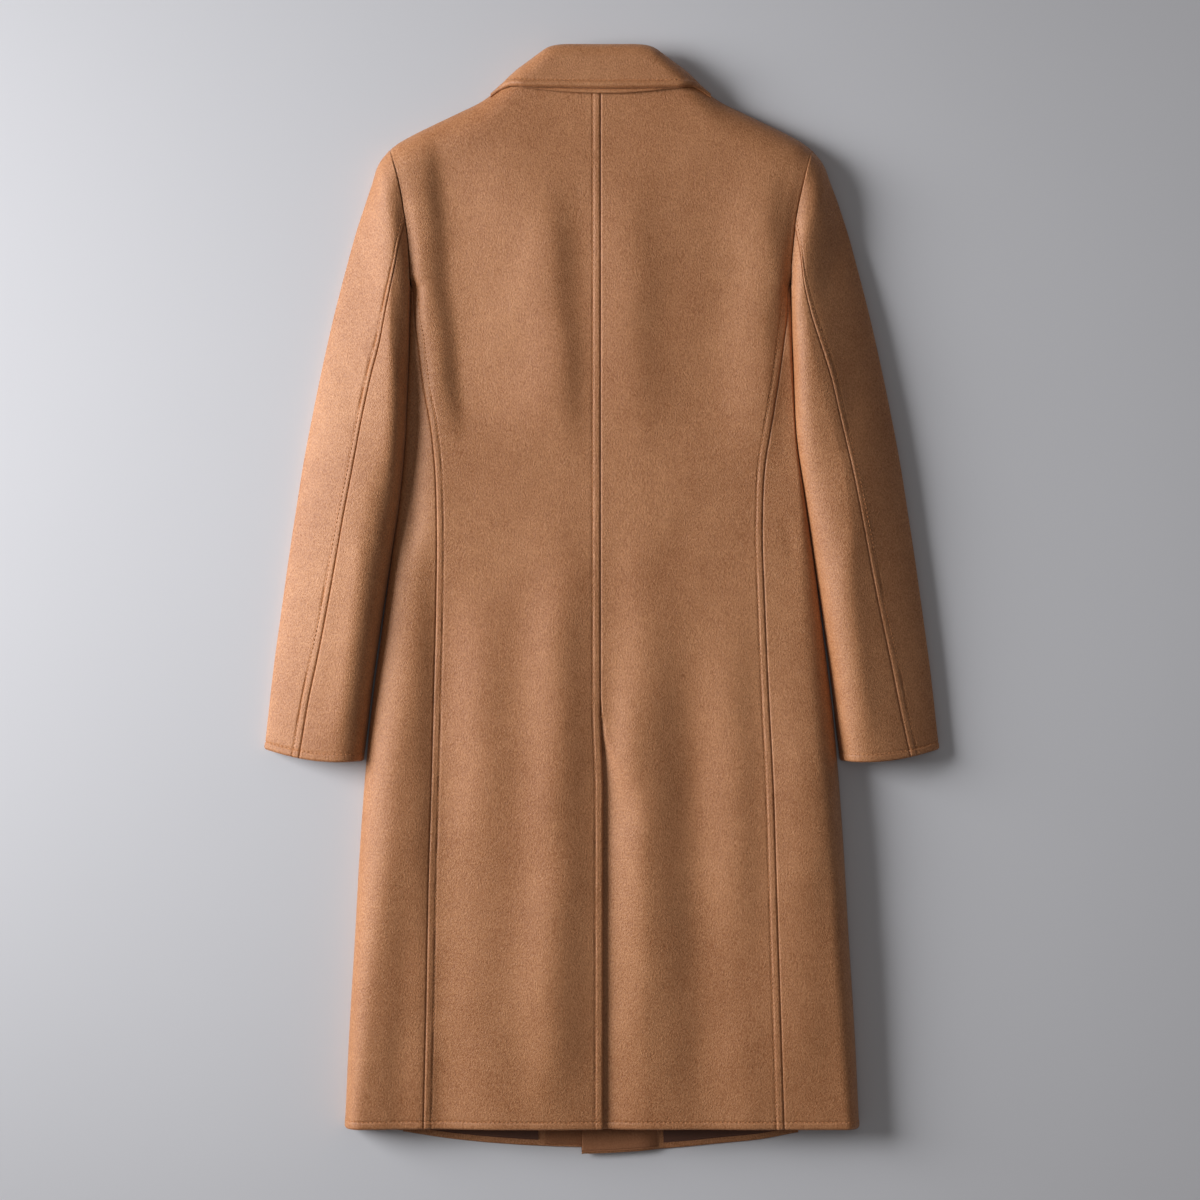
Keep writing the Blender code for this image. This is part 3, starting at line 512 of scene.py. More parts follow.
def layer_lift(x, down):
    """How far both fronts are lifted by the lapels and collar ends under them."""
    return LAYER * until(np.abs(x), *LAPELS_END["across"]) * until(down, *LAPELS_END["down"])


def front_height(x, down, side):
    """Height of the lower surface of a front. The right front lies over the left one."""
    lift = layer_lift(x, down)
    if side > 0:
        lapped = until(x, *OVERLAP["until across"]) * after(down, *OVERLAP["after down"])
        lift = lift + OVERLAP_LIFT * lapped
    edge = top_edge_height(np.abs(x))
    curl = 1 - rolled(top_distance(np.abs(x), down), UNDER_ROLL, UNDER_FULLNESS)
    return lift + (edge - lift) * curl


def unit(vectors):
    """The vectors at length 1."""
    length = np.linalg.norm(vectors, axis=-1, keepdims=True)
    return vectors / np.maximum(length, 1e-9)


def sleeve_inner(down, side):
    """Distance of the sleeve's inner edge from the centre."""
    return fold_reach(side, down) + sleeve_inner_gap(down)


def armhole_line(down, side):
    """Distance of the sleeve's edge at the armhole seam from the centre."""
    return back_outer_seam[side](np.minimum(down, ARMHOLE_END_DOWN)) + SEAM_GAP / 2


def beside_body(down, side):
    """The line that no sleeve crosses: the armhole seam, then the side fold."""
    return np.where(down < UNDERARM_DOWN, armhole_line(down, side), sleeve_inner(down, side))


def sleeve_plan(along, share, side):
    """Place of a point of the sleeve: along from armhole to cuff, share from outer to inner edge."""
    outer_down = SHOULDER_TIP_DOWN + along * (CUFF_OUTER_DOWN - SHOULDER_TIP_DOWN)
    inner_down = UNDERARM_DOWN + along**SLEEVE_FAN * (CUFF_INNER_DOWN - UNDERARM_DOWN)
    outer = sleeve_outer(outer_down)
    if side > 0:
        outer = outer + SLEEVE_WIDER * after(outer_down, SHOULDER_TIP_DOWN, SLEEVE_WIDER_FADE)
    inner = sleeve_inner(inner_down, side)
    across = outer + (inner - outer) * share
    down = outer_down + (inner_down - outer_down) * share
    seam_down = SHOULDER_TIP_DOWN + (UNDERARM_DOWN - SHOULDER_TIP_DOWN) * share
    straight = sleeve_outer(SHOULDER_TIP_DOWN) * (1 - share) + sleeve_inner(UNDERARM_DOWN, side) * share
    across = across + (armhole_line(seam_down, side) - straight) * until(along, 0, 0.25)
    down = down + sleeve_bow(along) * np.sin(np.pi * share)
    return np.maximum(across, beside_body(down, side)), down


def grid(x, down, z):
    """Points in the part's own frame, in millimetres."""
    x, down, z = np.broadcast_arrays(x, down, z)
    return np.stack([x, COAT_LENGTH / 2 - down, z], axis=-1).astype(float)


def uneven(along, seed=0.0):
    """A hand's small unevenness, from -1 to 1, along a line in millimetres."""
    return (np.sin(along / 5.3 + seed) + np.sin(along / 8.9 + 2.1 * seed + 1.3)
            + np.sin(along / 17.7 + 0.7 * seed + 4.0)) / 3


def ridge(table, x, down, end):
    """Sum of soft ridges and hollows, each between two points of a table."""
    total = np.zeros(np.broadcast(x, down).shape)
    for _, x_from, down_from, x_to, down_to, half_width, rise in table:
        share = np.clip((down - down_from) / (down_to - down_from), 0, 1)
        sway = CREASE_SWAY * half_width * uneven(down * 0.5, x_from)
        offset = (x - (x_from + (x_to - x_from) * share) - sway) / half_width
        total = total + rise * between(down, down_from, down_to, end) * np.exp(-offset**2)
    return total


def hand_relief(x, down):
    """Finer folds, and two faint crossing waves for the unevenness that pressed wool keeps."""
    soft = 0.30 * np.sin(x / 31 + down / 83) * np.sin(down / 57 - x / 90 + 1.2)
    soft = soft + 0.16 * np.sin(x / 13.7 + 0.8 * np.sin(down / 41)) * np.sin(down / 23.0 + x / 37)
    return ridge(CREASES, x, down, CREASE_END) + soft


def spaced(length, cell=CELL):
    """Shares of a length, close together beside both ends and a cell apart between them."""
    near = np.array([0.0, *NEAR_EDGE])
    count = max(int((length - 2 * near[-1]) / cell), 2)
    middle = np.linspace(near[-1], length - near[-1], count + 1)[1:-1]
    return np.concatenate([near, middle, (length - near)[::-1]]) / length


def outward(points, sign, column):
    """Unit normals of a grid of points, facing up (1) or down (-1) at one column."""
    normals = unit(np.cross(np.gradient(points, axis=0), np.gradient(points, axis=1)))
    if normals[len(points) // 2, column, 2] * sign < 0:
        normals = -normals
    return normals


def distances(points):
    """Distance of each point of a grid from the grid's four edges, along the cloth."""
    across = np.linalg.norm(np.diff(points, axis=1), axis=2)
    down = np.linalg.norm(np.diff(points, axis=0), axis=2)
    from_first = np.pad(np.cumsum(across, axis=1), ((0, 0), (1, 0)))
    from_top = np.pad(np.cumsum(down, axis=0), ((1, 0), (0, 0)))
    return {
        "first": from_first, "last": from_first[:, -1:] - from_first,
        "top": from_top, "hem": from_top[-1:] - from_top,
    }


def quarter_round(distance, radius):
    """Drop of a rounded edge as a share of its radius: 1 at the edge, 0 from the radius on."""
    inside = 1 - np.clip(distance / radius, 0, 1)
    return 1 - np.sqrt(1 - inside**2)


def edge_work(distance, along, work, seed):
    """How the cloth's face departs from its plain form beside one edge."""
    face = np.zeros_like(distance)
    hand = EVENNESS[0] + EVENNESS[1] * uneven(along, seed)
    if "seam" in work:
        depth = SEAM_DEPTH
        if "armhole" in work:
            depth = depth * np.interp(along, ARMHOLE_SEAM_DOWN, ARMHOLE_SEAM_DEEPER)
        face = face - depth * np.exp(-(distance / SEAM_WIDTH) ** 2)
    if "turned" in work:
        face = face - EDGE_DROP * EDGE_ROUND * quarter_round(distance, EDGE_ROUND)
    if "stitched" in work:
        past = distance - TOPSTITCH
        rise, start, reach = BESIDE_GROOVE
        welt = smooth(distance / WELT_START) * (1 - smooth((past + WELT_END) / WELT_END))
        groove = np.exp(-(past / GROOVE_WIDTH) ** 2) * (GROOVE_DEEPER if "deep" in work else 1)
        beyond = smooth(past / start) * np.exp(-(past / reach) ** 2)
        face = face + hand * (WELT_RISE * welt - GROOVE_DEPTH * groove + rise * beyond)
    return face


def mesh_piece(name, corners, faces, material):
    """A mesh object of one material."""
    mesh = bpy.data.meshes.new(name)
    mesh.from_pydata(corners, [], faces)
    mesh.materials.append(material)
    piece = bpy.data.objects.new(name, mesh)
    bpy.context.scene.collection.objects.link(piece)
    return piece


def shell(name, outer, inner, material, node):
    """One closed piece of cloth between two grids of points, in the node's place."""
    rows, columns = outer.shape[:2]
    count = rows * columns
    corners = np.concatenate([outer.reshape(-1, 3), inner.reshape(-1, 3)]) * MM
    at = np.arange(count).reshape(rows, columns)
    quads = np.stack([at[:-1, :-1], at[:-1, 1:], at[1:, 1:], at[1:, :-1]], axis=-1).reshape(-1, 4)
    rim = np.concatenate([at[0], at[1:, -1], at[-1, -2::-1], at[-2:0:-1, 0]])
    onward = np.roll(rim, -1)
    sides = np.stack([onward, rim, rim + count, onward + count], axis=-1)
    faces = np.concatenate([quads, quads[:, ::-1] + count, sides])
    piece = mesh_piece(name, corners.tolist(), faces.tolist(), material)
    a, b, c, d = (corners[faces[:, k]] for k in range(4))
    if np.sum(a * (np.cross(b, c) + np.cross(c, d))) < 0:
        piece.data.flip_normals()
    piece.data.shade_smooth()
    piece.data.set_sharp_from_angle(angle=SHARP_ANGLE)
    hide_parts(node)
    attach(piece, "root")
    return piece


def line_at(values, distance, at, along_rows):
    """Values of a grid along the line at one distance from an edge."""
    if along_rows:
        values, distance = values.swapaxes(0, 1), distance.T
    line = []
    for row, run in zip(values, distance):
        order = np.argsort(run)
        line.append([np.interp(at, run[order], row[order, k]) for k in range(3)])
    return np.array(line)


def along_path(values, run, at):
    """A point or a direction of a path, at one length along it."""
    return np.array([np.interp(at, run, values[:, k]) for k in range(3)])


def sewn_row(name, path, normals, material):
    """A row of machine stitches that lie half sunk in the cloth along a path."""
    run = np.concatenate([[0], np.cumsum(np.linalg.norm(np.diff(path, axis=0), axis=1))])
    normals = unit(normals)
    corners = []
    faces = []
    turns = [2 * math.pi * k / THREAD_SIDES for k in range(THREAD_SIDES)]
    for start in np.arange(STITCH_START, run[-1] - STITCH_LENGTH - 1, STITCH_PITCH):
        first = len(corners)
        for share, lift, size in STITCH_FORM:
            at = start + share * STITCH_LENGTH
            point = along_path(path, run, at)
            normal = along_path(normals, run, at)
            sideways = unit(np.cross(along_path(path, run, at + 0.3) - point, normal))
            for turn in turns:
                ring = sideways * math.cos(turn) * THREAD_FLATNESS + normal * math.sin(turn)
                corner = point + normal * lift + ring * THREAD * size
                corner[2] = max(corner[2], 0)
                corners.append(tuple(corner * MM))
        last = len(corners) - THREAD_SIDES
        for base in range(first, last, THREAD_SIDES):
            for k in range(THREAD_SIDES):
                a = base + k
                b = base + (k + 1) % THREAD_SIDES
                faces.append((a, b, b + THREAD_SIDES, a + THREAD_SIDES))
        faces.append(tuple(first + k for k in reversed(range(THREAD_SIDES))))
        faces.append(tuple(last + k for k in range(THREAD_SIDES)))
    piece = mesh_piece(name, corners, faces, material)
    piece.data.shade_smooth()
    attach(piece, "root")
    return piece


def cloth_piece(node, points, facing, edges, material, thickness=CLOTH, seed=0.0, only=None,
                arm=0):
    """One piece of worked cloth: shell and rows of stitches.

    facing says that the side that shows faces up (1) or down (-1) at one column of the points.
    edges names the work along each edge, and only limits topstitching to a part of an edge.
    arm is the side of a sleeve, which is kept off the body.
    """
    sign, column = facing
    normals = outward(points, sign, column)
    away = distances(points)
    down = COAT_LENGTH / 2 - points[..., 1]
    face = np.zeros(points.shape[:2])
    back = np.zeros(points.shape[:2])
    for edge, work in edges.items():
        along = down if edge in ("first", "last") else points[..., 0]
        if only and edge in only and "stitched" in work:
            start, end = only[edge]
            part = between(along, start, end, ROW_FADE)
            plain = work.replace("stitched", "")
            whole = edge_work(away[edge], along, work, seed)
            bare = edge_work(away[edge], along, plain, seed)
            face += bare + (whole - bare) * part
        else:
            face += edge_work(away[edge], along, work, seed)
        if "turned" in work:
            back += edge_work(away[edge], along, "turned", seed)
    outer = points + normals * face[..., None]
    inner = points - normals * np.maximum(thickness + back[..., None], THINNEST)
    outer[..., 2] = np.maximum(outer[..., 2], 0)
    if arm:
        for part in (outer, inner):
            line = beside_body(COAT_LENGTH / 2 - part[..., 1], arm)
            part[..., 0] = arm * np.maximum(arm * part[..., 0], line)
    piece = shell(node + "_cloth", outer, inner, material, node)
    for edge, work in edges.items():
        if "stitched" not in work:
            continue
        along_rows = edge in ("top", "hem")
        path = line_at(outer, away[edge], TOPSTITCH, along_rows)
        line_normals = line_at(normals, away[edge], TOPSTITCH, along_rows)
        if only and edge in only:
            run = COAT_LENGTH / 2 - path[:, 1] if not along_rows else path[:, 0]
            keep = (run >= only[edge][0]) & (run <= only[edge][1])
            path = path[keep]
            line_normals = line_normals[keep]
        sewn_row(node + "_stitches_" + edge, path, line_normals, thread)
    return piece


def seam_rows():
    """Rows of the body's panels, as distances down the outer seam, with the vent's top between two."""
    rows = SHOULDER_TIP_DOWN + PANEL_LENGTH * spaced(PANEL_LENGTH)
    back_length = BACK_HEM_DOWN - NECK_SEAM_DOWN
    vent = [SHOULDER_TIP_DOWN + PANEL_LENGTH * (down - NECK_SEAM_DOWN) / back_length for down in VENT_ROWS]
    rows = rows[(rows < vent[0] - 1) | (rows > vent[1] + 1)]
    return np.sort(np.concatenate([rows, vent]))


def armhole_hollow(distance, down, width):
    """The armhole seam sinks between body and sleeve, deepest at the underarm."""
    return -np.interp(down, ARMHOLE_DOWN, ARMHOLE_DEPTH) * np.exp(-(distance / width) ** 2)


def full_height(x, down):
    """Height of the coat's upper surface with its fine folds and the sunk armhole seam."""
    seam = on_side(x, back_outer_seam, down)
    sunk = armhole_hollow(seam - np.abs(x), down, ARMHOLE_SPREAD["body"])
    return back_height(x, down) + hand_relief(x, down) * worn(x, down) + sunk


def worn(x, down):
    """Share of the fine folds that shows: none at the rolled outline."""
    across = np.abs(x)
    return smooth(top_distance(across, down) / WORN_IN) * smooth(side_distance(x, down) / WORN_IN)


def vent_drop(x, down):
    """How far the right back's underlap sinks beside the left back's edge, more as the vent opens."""
    opened = after(down, VENT_TOP_DOWN, VENT_OPENING)
    begun = after(down, VENT_TOP_DOWN - VENT_SINKING, VENT_SINKING - 0.1)
    end, fade = (first + more * opened for first, more in VENT_HOLLOW)
    return VENT_DROP * begun * until(x, end, fade)


def back_panel(side, word):
    """One half of the back. Below the vent's top the right one goes on under the left one."""
    outer_down = seam_rows()[:, None]
    share = (outer_down - SHOULDER_TIP_DOWN) / PANEL_LENGTH
    column = spaced(BACK_WIDTH)[None, :]
    top_across = column * (back_outer_seam[side](SHOULDER_TIP_DOWN) - SEAM_GAP / 2)
    top_down = np.maximum(NECK_SEAM_DOWN, top_line(top_across))
    down = top_down + (BACK_HEM_DOWN - top_down) * share
    down = down + (outer_down - down[:, -1:]) * column
    inner = SEAM_GAP / 2
    if side < 0:
        before, fade = VENT_LAP_START
        inner = VENT_LAP * after(down[:, :1], VENT_TOP_DOWN - before, fade) - SEAM_GAP / 2
    outer = side * (back_outer_seam[side](outer_down) - SEAM_GAP / 2)
    x = inner + (outer - inner) * column
    if side > 0:
        below_vent = after(down[:, :1], VENT_TOP_DOWN, VENT_ROWS[1] - VENT_ROWS[0])
        x = x - VENT_UNDERLAP * below_vent * np.interp(column, UNDERLAP_SHARES, UNDERLAP_SHIFTS)
    z = full_height(x, down)
    if side > 0:
        z = z - vent_drop(x, down)
    edges = {"top": "seam", "last": "stitched armhole seam", "hem": "stitched turned"}
    edges["first"] = "stitched seam" if side < 0 else "seam"
    cloth_piece("back_" + word, grid(x, down, z), (1, 60), edges, wool, seed=side + 2.0,
                only={"last": BACK_SEAM_ROW})


def side_panel(side, word):
    """The panel that wraps round the side fold, from the back seam to the front seam."""
    rows = seam_rows()
    down = np.concatenate([SIDE_TOP_ROWS, rows[rows > SIDE_TOP_ROWS[-1] + 1]])[:, None]
    fold = fold_reach(side, down)
    start = back_outer_seam[side](down) + SEAM_GAP / 2
    end = front_side_seam(down) + SEAM_GAP / 2
    left, columns = SIDE_REST
    over = np.concatenate([SIDE_COLUMNS, 1 - np.linspace(left, 0, columns) ** 2])
    under = np.linspace(0, 1, SIDE_UNDER)[1:] ** 2
    top_x = start + (fold - start) * over[None, :]
    low_x = fold - (fold - end) * under[None, :]
    top_z = full_height(side * top_x, down)
    fold_z = FOLD_HEIGHT + side_rise[side](down)
    low_z = fold_z * (1 - rolled(fold - low_x, UNDER_ROLL, UNDER_FULLNESS))
    low_down = down + hem_drop(down) * under
    points = np.concatenate([grid(side * top_x, down, top_z), grid(side * low_x, low_down, low_z)], axis=1)
    edges = {"first": "seam", "last": "seam", "hem": "stitched turned"}
    cloth_piece("side_" + word, points, (1, 8), edges, wool, seed=side + 5.0)


def hem_drop(down):
    """How much lower than the back's hem the fronts' cloth hangs."""
    return HEM_DROP * after(down, BACK_HEM_DOWN - HEM_DROP_START, HEM_DROP_START)


def front_panel(side, word):
    """One front, face down: columns from its outer seam to its edge, closer over the facing's strip."""
    seam_down = seam_rows()[:, None]
    share = (seam_down - SHOULDER_TIP_DOWN) / PANEL_LENGTH
    edge_down = FRONT_TOP_DOWN + (front_hem[side](-20) - FRONT_TOP_DOWN) * share
    armhole = back_outer_seam[side](seam_down)
    seam = np.where(seam_down < UNDERARM_DOWN, armhole, front_side_seam(seam_down)) - SEAM_GAP / 2
    seam_down = seam_down + hem_drop(seam_down)
    edge = front_edge(edge_down)
    steps = np.concatenate([np.linspace(FACING_WIDTH, 16, 14), NEAR_EDGE[::-1], [0]])
    narrowed = STRIP_TOP + (1 - STRIP_TOP) * after(edge_down, FRONT_TOP_DOWN, STRIP_WIDENS)
    near = edge + steps[None, :] * narrowed
    rest = seam + (near[:, :1] - seam) * (np.linspace(0, 1, 24)[None, :-1] ** 1.15)
    across = np.concatenate([rest, near], axis=1)
    column = (seam - across) / (seam - edge)
    down = seam_down + (edge_down - seam_down) * column
    drop, reach, fade = NECKLINE
    top = np.maximum(top_line(across[:1]), 4) + drop * until(across[:1], reach, fade)
    down = down + (top - down[:1]) * (1 - share) ** 3
    hem = front_hem[side](across[-1:])
    down = down + (hem - down[-1:]) * share**3
    points = grid(side * across, down, front_height(side * across, down, side))
    edges = {"top": "seam", "first": "seam", "last": "stitched turned", "hem": "stitched turned"}
    cloth_piece("front_" + word, points, (-1, 20), edges, wool, seed=side + 9.0,
                only={"last": FRONT_EDGE_ROW})
    inside_pieces(side, word, points, len(steps))


def inside_pieces(side, word, front, near):
    """The facing and the lining, which show inside the hem below the back."""
    normals = outward(front, -1, 20)
    down = COAT_LENGTH / 2 - front[:, -1, 1]
    rows = np.nonzero(down > FACING_TOP_DOWN)[0]
    above = front[rows, -near:] - normals[rows, -near:] * (CLOTH + SEAM_GAP + FACING_CLOTH)
    edges = {"first": "seam", "last": "turned", "hem": "turned"}
    # The facing's wool is painted darker than the camel wool: painted shade under the back's hem
    cloth_piece("facing_" + word, trimmed(above, FACING_ABOVE_HEM), (1, 8), edges, facing_wool_painted_shade,
                FACING_CLOTH, side + 11.0)
    rows = np.nonzero(down > LINING_TOP_DOWN)[0]
    above = front[rows, 1:-near] - normals[rows, 1:-near] * (CLOTH + SEAM_GAP + LINING_CLOTH)
    edges = {"hem": "turned"}
    cloth_piece("lining_" + word, trimmed(above, LINING_ABOVE_HEM), (1, 12), edges, lining_cloth,
                LINING_CLOTH)


def trimmed(points, distance):
    """The piece cut off at one distance above its hem."""
    away = distances(points)["hem"]
    end = line_at(points, away, distance, True)
    kept = points[np.min(away, axis=1) > distance + 0.4]
    return np.concatenate([kept, end[None]])


def lapel(side, word):
    """A turned rever, flat under its front from the roll to its edge."""
    share = spaced(LAPEL_LENGTH)[:, None] ** LAPEL_CLOSER
    column = spaced(LAPEL_WIDTH)[None, :]
    down = LAPEL_TOP_DOWN + (FRONT_BREAK_DOWN - LAPEL_TOP_DOWN) * share + LAPEL_DIP * column * (1 - share)
    roll = front_edge(down) + 2 * SEAM_GAP
    across = roll + (lapel_edge(down) - roll) * column
    points = grid(side * across, down, 0.0 * across)
    cloth_piece("lapel_" + word, points, (-1, 20), {"last": "stitched turned", "top": "turned"}, wool,
                only={"last": LAPEL_ROW})


def sleeve_surface(side, angles, rows):
    """The sleeve's form, fuller than its solids': rows from armhole to cuff, columns round it."""
    along = rows[:, None] * np.ones_like(angles)
    share = (1 - np.cos(np.radians(angles))) / 2
    across, down = sleeve_plan(along, share, side)
    low = sleeve_edge_height(along) + (side_rise[side](down) - TUCK) * after(share, 0.5, 0.5)
    full = sleeve_round(side, along, share)
    top_z = low + (sleeve_height(along) + SLEEVE_FULL * after(along, 0, 0.3) - low) * full
    seam_across, seam_down = sleeve_plan(along * 0, share, side)
    armhole_z = back_height(side * (seam_across - SEAM_GAP), seam_down)
    top_z = top_z + (armhole_z - top_z) * until(along, 0, 0.15)
    top_z = top_z + sleeve_folds(side, along, share) * full**2
    width = SLEEVE_SECTION + SLEEVE_HEAD_WIDER * until(along, 0, 0.2)
    edge = np.minimum(share, 1 - share) * width
    low_z = low * (1 - rolled(edge, UNDER_ROLL, UNDER_FULLNESS))
    z = np.where(np.mod(angles, 360) <= 180, top_z, low_z)
    return grid(side * across, down, z)


def sleeve_round(side, along, share):
    """The sleeve's upper side: a long slope from the outer edge, a steep one to the inner edge."""
    crown = sleeve_crown[side](along)
    outer = np.clip(1 - share / crown, 0, 1)
    inner = np.clip((share - crown) / (1 - crown), 0, 1)
    slopes = [(1 - part**power) ** root for part, (power, root) in zip((outer, inner), SLEEVE_SLOPES)]
    return np.where(share < crown, *slopes)


def sleeve_folds(side, along, share):
    """The sleeve's sunk head seam, the swell of its head, a faint unevenness and its creases."""
    down = SHOULDER_TIP_DOWN + (UNDERARM_DOWN - SHOULDER_TIP_DOWN) * share
    run = along * HEAD_RUN
    sunk = armhole_hollow(run, np.minimum(down, ARMHOLE_END_DOWN - 2), ARMHOLE_SPREAD["sleeve"])
    cap = 1 - (1 - np.clip(run / CAP_WIDTH, 0, 1)) ** 2
    cap = SLEEVE_CAP[side] * cap * until(along, 0.08, 0.3)
    total = sunk + cap + 0.25 * np.sin(share * 9 + along * 14 + side) * np.sin(along * 23 + share * 3)
    for _, arm, along_from, share_from, along_to, share_to, half_width, rise in SLEEVE_CREASES:
        if arm != side:
            continue
        run = np.clip((along - along_from) / (along_to - along_from), 0, 1)
        offset = (share - (share_from + (share_to - share_from) * run)) / half_width
        begin = smooth((along - along_from) / SLEEVE_CREASE_END + 0.2)
        end = smooth((along_to - along) / SLEEVE_CREASE_END + 0.2)
        total = total + rise * begin * end * np.exp(-offset**2)
    return total


def seam_angle(share):
    """Angle round the sleeve's section, in degrees, at a share of the way across it."""
    return np.degrees(np.arccos(1 - 2 * share))


def sleeve(side, word):
    """Both halves of a sleeve, round the section from the hind seam to the fore seam."""
    rows = spaced(SLEEVE_LENGTH)
    hind = seam_angle(hind_seam[side](rows))[:, None]
    fore = 360 - seam_angle(FORE_SEAM_SHARE)
    least, more, reach = HIND_GAP
    gap = least + more * until(rows, 0, reach)[:, None]
    hind_work = "deep stitched seam" if side < 0 else "stitched seam"
    halves = (
        # node, start and end angle, work of its hind seam
        ("top_sleeve_", hind - gap, fore - 360 + gap, hind_work),
        ("under_sleeve_", hind + gap, fore - gap, "seam"),
    )
    for node, start, end, work in halves:
        angles = start + (end - start) * spaced(SLEEVE_GIRTH[node], SLEEVE_CELL)[None, :]
        edges = {"top": "seam", "first": work, "last": "seam", "hem": "stitched turned"}
        cloth_piece(node + word, sleeve_surface(side, angles, rows), (1, 3), edges, wool, seed=side + 14.0,
                    arm=side)


def collar_form():
    """The collar's section at each station across, on the form of neck and shoulders.

    step counts along a section: from 0 at the edge to ROLL_STEP at the roll, then on under it.
    """
    wide, close = COLLAR_SECTIONS
    half = np.linspace(0, COLLAR_BEND, wide)
    half = np.concatenate([half, np.linspace(COLLAR_BEND, COLLAR_POINT, close)[1:]])
    stations = np.concatenate([-half[:0:-1], half])
    near = 1 - np.array([0, *NEAR_EDGE]) / COLLAR_FALL
    over_share = np.concatenate([near, np.linspace(math.sqrt(near[-1]), 0, COLLAR_ROWS)[1:] ** 2])
    under_share = np.linspace(0, 1, COLLAR_ROWS)[1:]
    over_step = ROLL_STEP - ROLL_STEP * np.sqrt(over_share)
    step = np.concatenate([over_step, ROLL_STEP + UNDER_STEPS * under_share])
    lift, lift_reach, lift_fade = NECK_LIFT
    points = []
    for x in stations:
        across = abs(x)
        side = -1 if x < 0 else 1
        roll = float(top_line(across))
        edge = max(float(collar_fall[side](across)), roll + STAND_TOP)
        end = max(float(collar_end(across)), roll + COLLAR_LEAST_UNDER)
        over = roll + (edge - roll) * over_share
        under = roll + (end - roll) * under_share**2
        low = top_edge_height(across)
        base = LAYER + lift * until(across, lift_reach, lift_fade)
        over_z = back_height(x, over)
        turn = 1 - rolled(top_distance(across, under), UNDER_ROLL, UNDER_FULLNESS)
        under_z = base + (low - base) * turn
        points.append(grid(x, np.concatenate([over, under]), np.concatenate([over_z, under_z])))
    points = np.array(points)
    tangent = unit(np.gradient(points, axis=1) * np.array([0, 1, 1]))
    normals = np.stack([np.zeros_like(tangent[..., 0]), -tangent[..., 2], tangent[..., 1]], axis=-1)
    if normals[len(stations) // 2, 0, 2] < 0:
        normals = -normals
    return points, normals, step, len(over_share)


def collar_gap(across):
    """How far the collar stands off the back: less at its points."""
    return COLLAR_REST + COLLAR_LIFT * until(across, *COLLAR_LOW)


def top_collar(points, normals, step):
    """The collar's outer layer: over the back, round the roll and on under the neck."""
    across = np.abs(points[:, :1, :1])
    before, fade = UNDER_COLLAR_FADE
    ends = until(across, UNDER_COLLAR_END - before, fade)
    over_reach = collar_gap(across) + (UNDER_COLLAR_CLOTH + SEAM_GAP) * ends + COLLAR_CLOTH
    share = after(step, *GAP_CLOSED)[None, :, None]
    reach = over_reach + (LAYER - over_reach) * share
    taper = COLLAR_TAPER * after(across, *COLLAR_THIN) * (1 - share)
    outer = points + normals * (reach - taper)
    inner = points + normals * (reach - COLLAR_CLOTH)
    away = distances(outer)["first"]
    along = points[..., 0]
    turned = edge_work(away, along, "turned", 3.0)
    work = turned + COLLAR_WELT * (edge_work(away, along, "stitched turned", 3.0) - turned)
    bulge, place, spread = COLLAR_BULGE
    work = work * until(np.abs(along), *COLLAR_WORK_END) + bulge * np.exp(-((away - place) / spread) ** 2)
    work = work - COLLAR_EDGE_DROP * quarter_round(away, COLLAR_ROUND)
    outer = outer + normals * work[..., None]
    inner = inner - normals * COLLAR_INNER_SHARE * turned[..., None]
    outer[..., 2] = np.maximum(outer[..., 2], 0)
    inner[..., 2] = np.where(outer[..., 2] < ON_FLOOR, COLLAR_CLOTH, inner[..., 2])
    shell("top_collar_cloth", outer, inner, wool, "top_collar")
    path = line_at(outer, away, TOPSTITCH, False)
    keep = np.abs(path[:, 0]) < COLLAR_ROW_END
    sewn_row("top_collar_stitches", path[keep], line_at(normals, away, TOPSTITCH, False)[keep], thread)


def under_collar(points, normals, over):
    """The layer below, whose edge comes out a little from under the top collar."""
    middle = np.abs(points[:, 0, 0]) < UNDER_COLLAR_END
    rim = []
    for share in UNDER_COLLAR_RIM:
        edge = points[middle, :1].copy()
        edge[..., 1] -= under_collar_edge(np.abs(edge[..., 0])) * share
        edge[..., 2] = back_height(edge[..., 0], COAT_LENGTH / 2 - edge[..., 1])
        rim.append(edge)
    plain = np.concatenate([*rim, points[middle, :over]], axis=1)
    facing = np.concatenate([normals[middle, :1]] * len(rim) + [normals[middle, :over]], axis=1)
    away = distances(plain)["first"]
    narrower, shallower = UNDER_COLLAR_TURN
    turned = edge_work(away * narrower, plain[..., 0], "turned", 1.0) * shallower
    shown = under_collar_edge(np.abs(plain[:, :1, 0]))
    crease = UNDER_COLLAR_CREASE * np.exp(-((away - shown) / UNDER_COLLAR_CREASE) ** 2)
    inner = plain + facing * collar_gap(np.abs(points[middle, :1, :1]))
    outer = inner + facing * (UNDER_COLLAR_CLOTH + turned - crease)[..., None]
    shell("under_collar_cloth", outer, inner, wool, "under_collar")


def collar_stand():
    """The strip that stands under the collar's roll, along the neck seam."""
    wide, deep = STAND_GRID
    x = np.linspace(-STAND_REACH, STAND_REACH, wide)[:, None]
    top = top_line(np.abs(x)) + STAND_TOP
    end = np.maximum(NECK_SEAM_DOWN - SEAM_GAP, top + STAND_LEAST)
    down = top + (end - top) * np.linspace(0, 1, deep)[None, :] ** STAND_CLOSER
    outer = grid(x, down, back_height(x, down) - STAND_LOWER)
    inner = outer - outward(outer, 1, 8) * COLLAR_CLOTH
    shell("collar_stand_cloth", outer, inner, wool, "collar_stand")


def collar():
    """All the pieces of the collar."""
    points, normals, step, over = collar_form()
    top_collar(points, normals, step)
    under_collar(points, normals, over)
    collar_stand()


# ---- Finishes ----

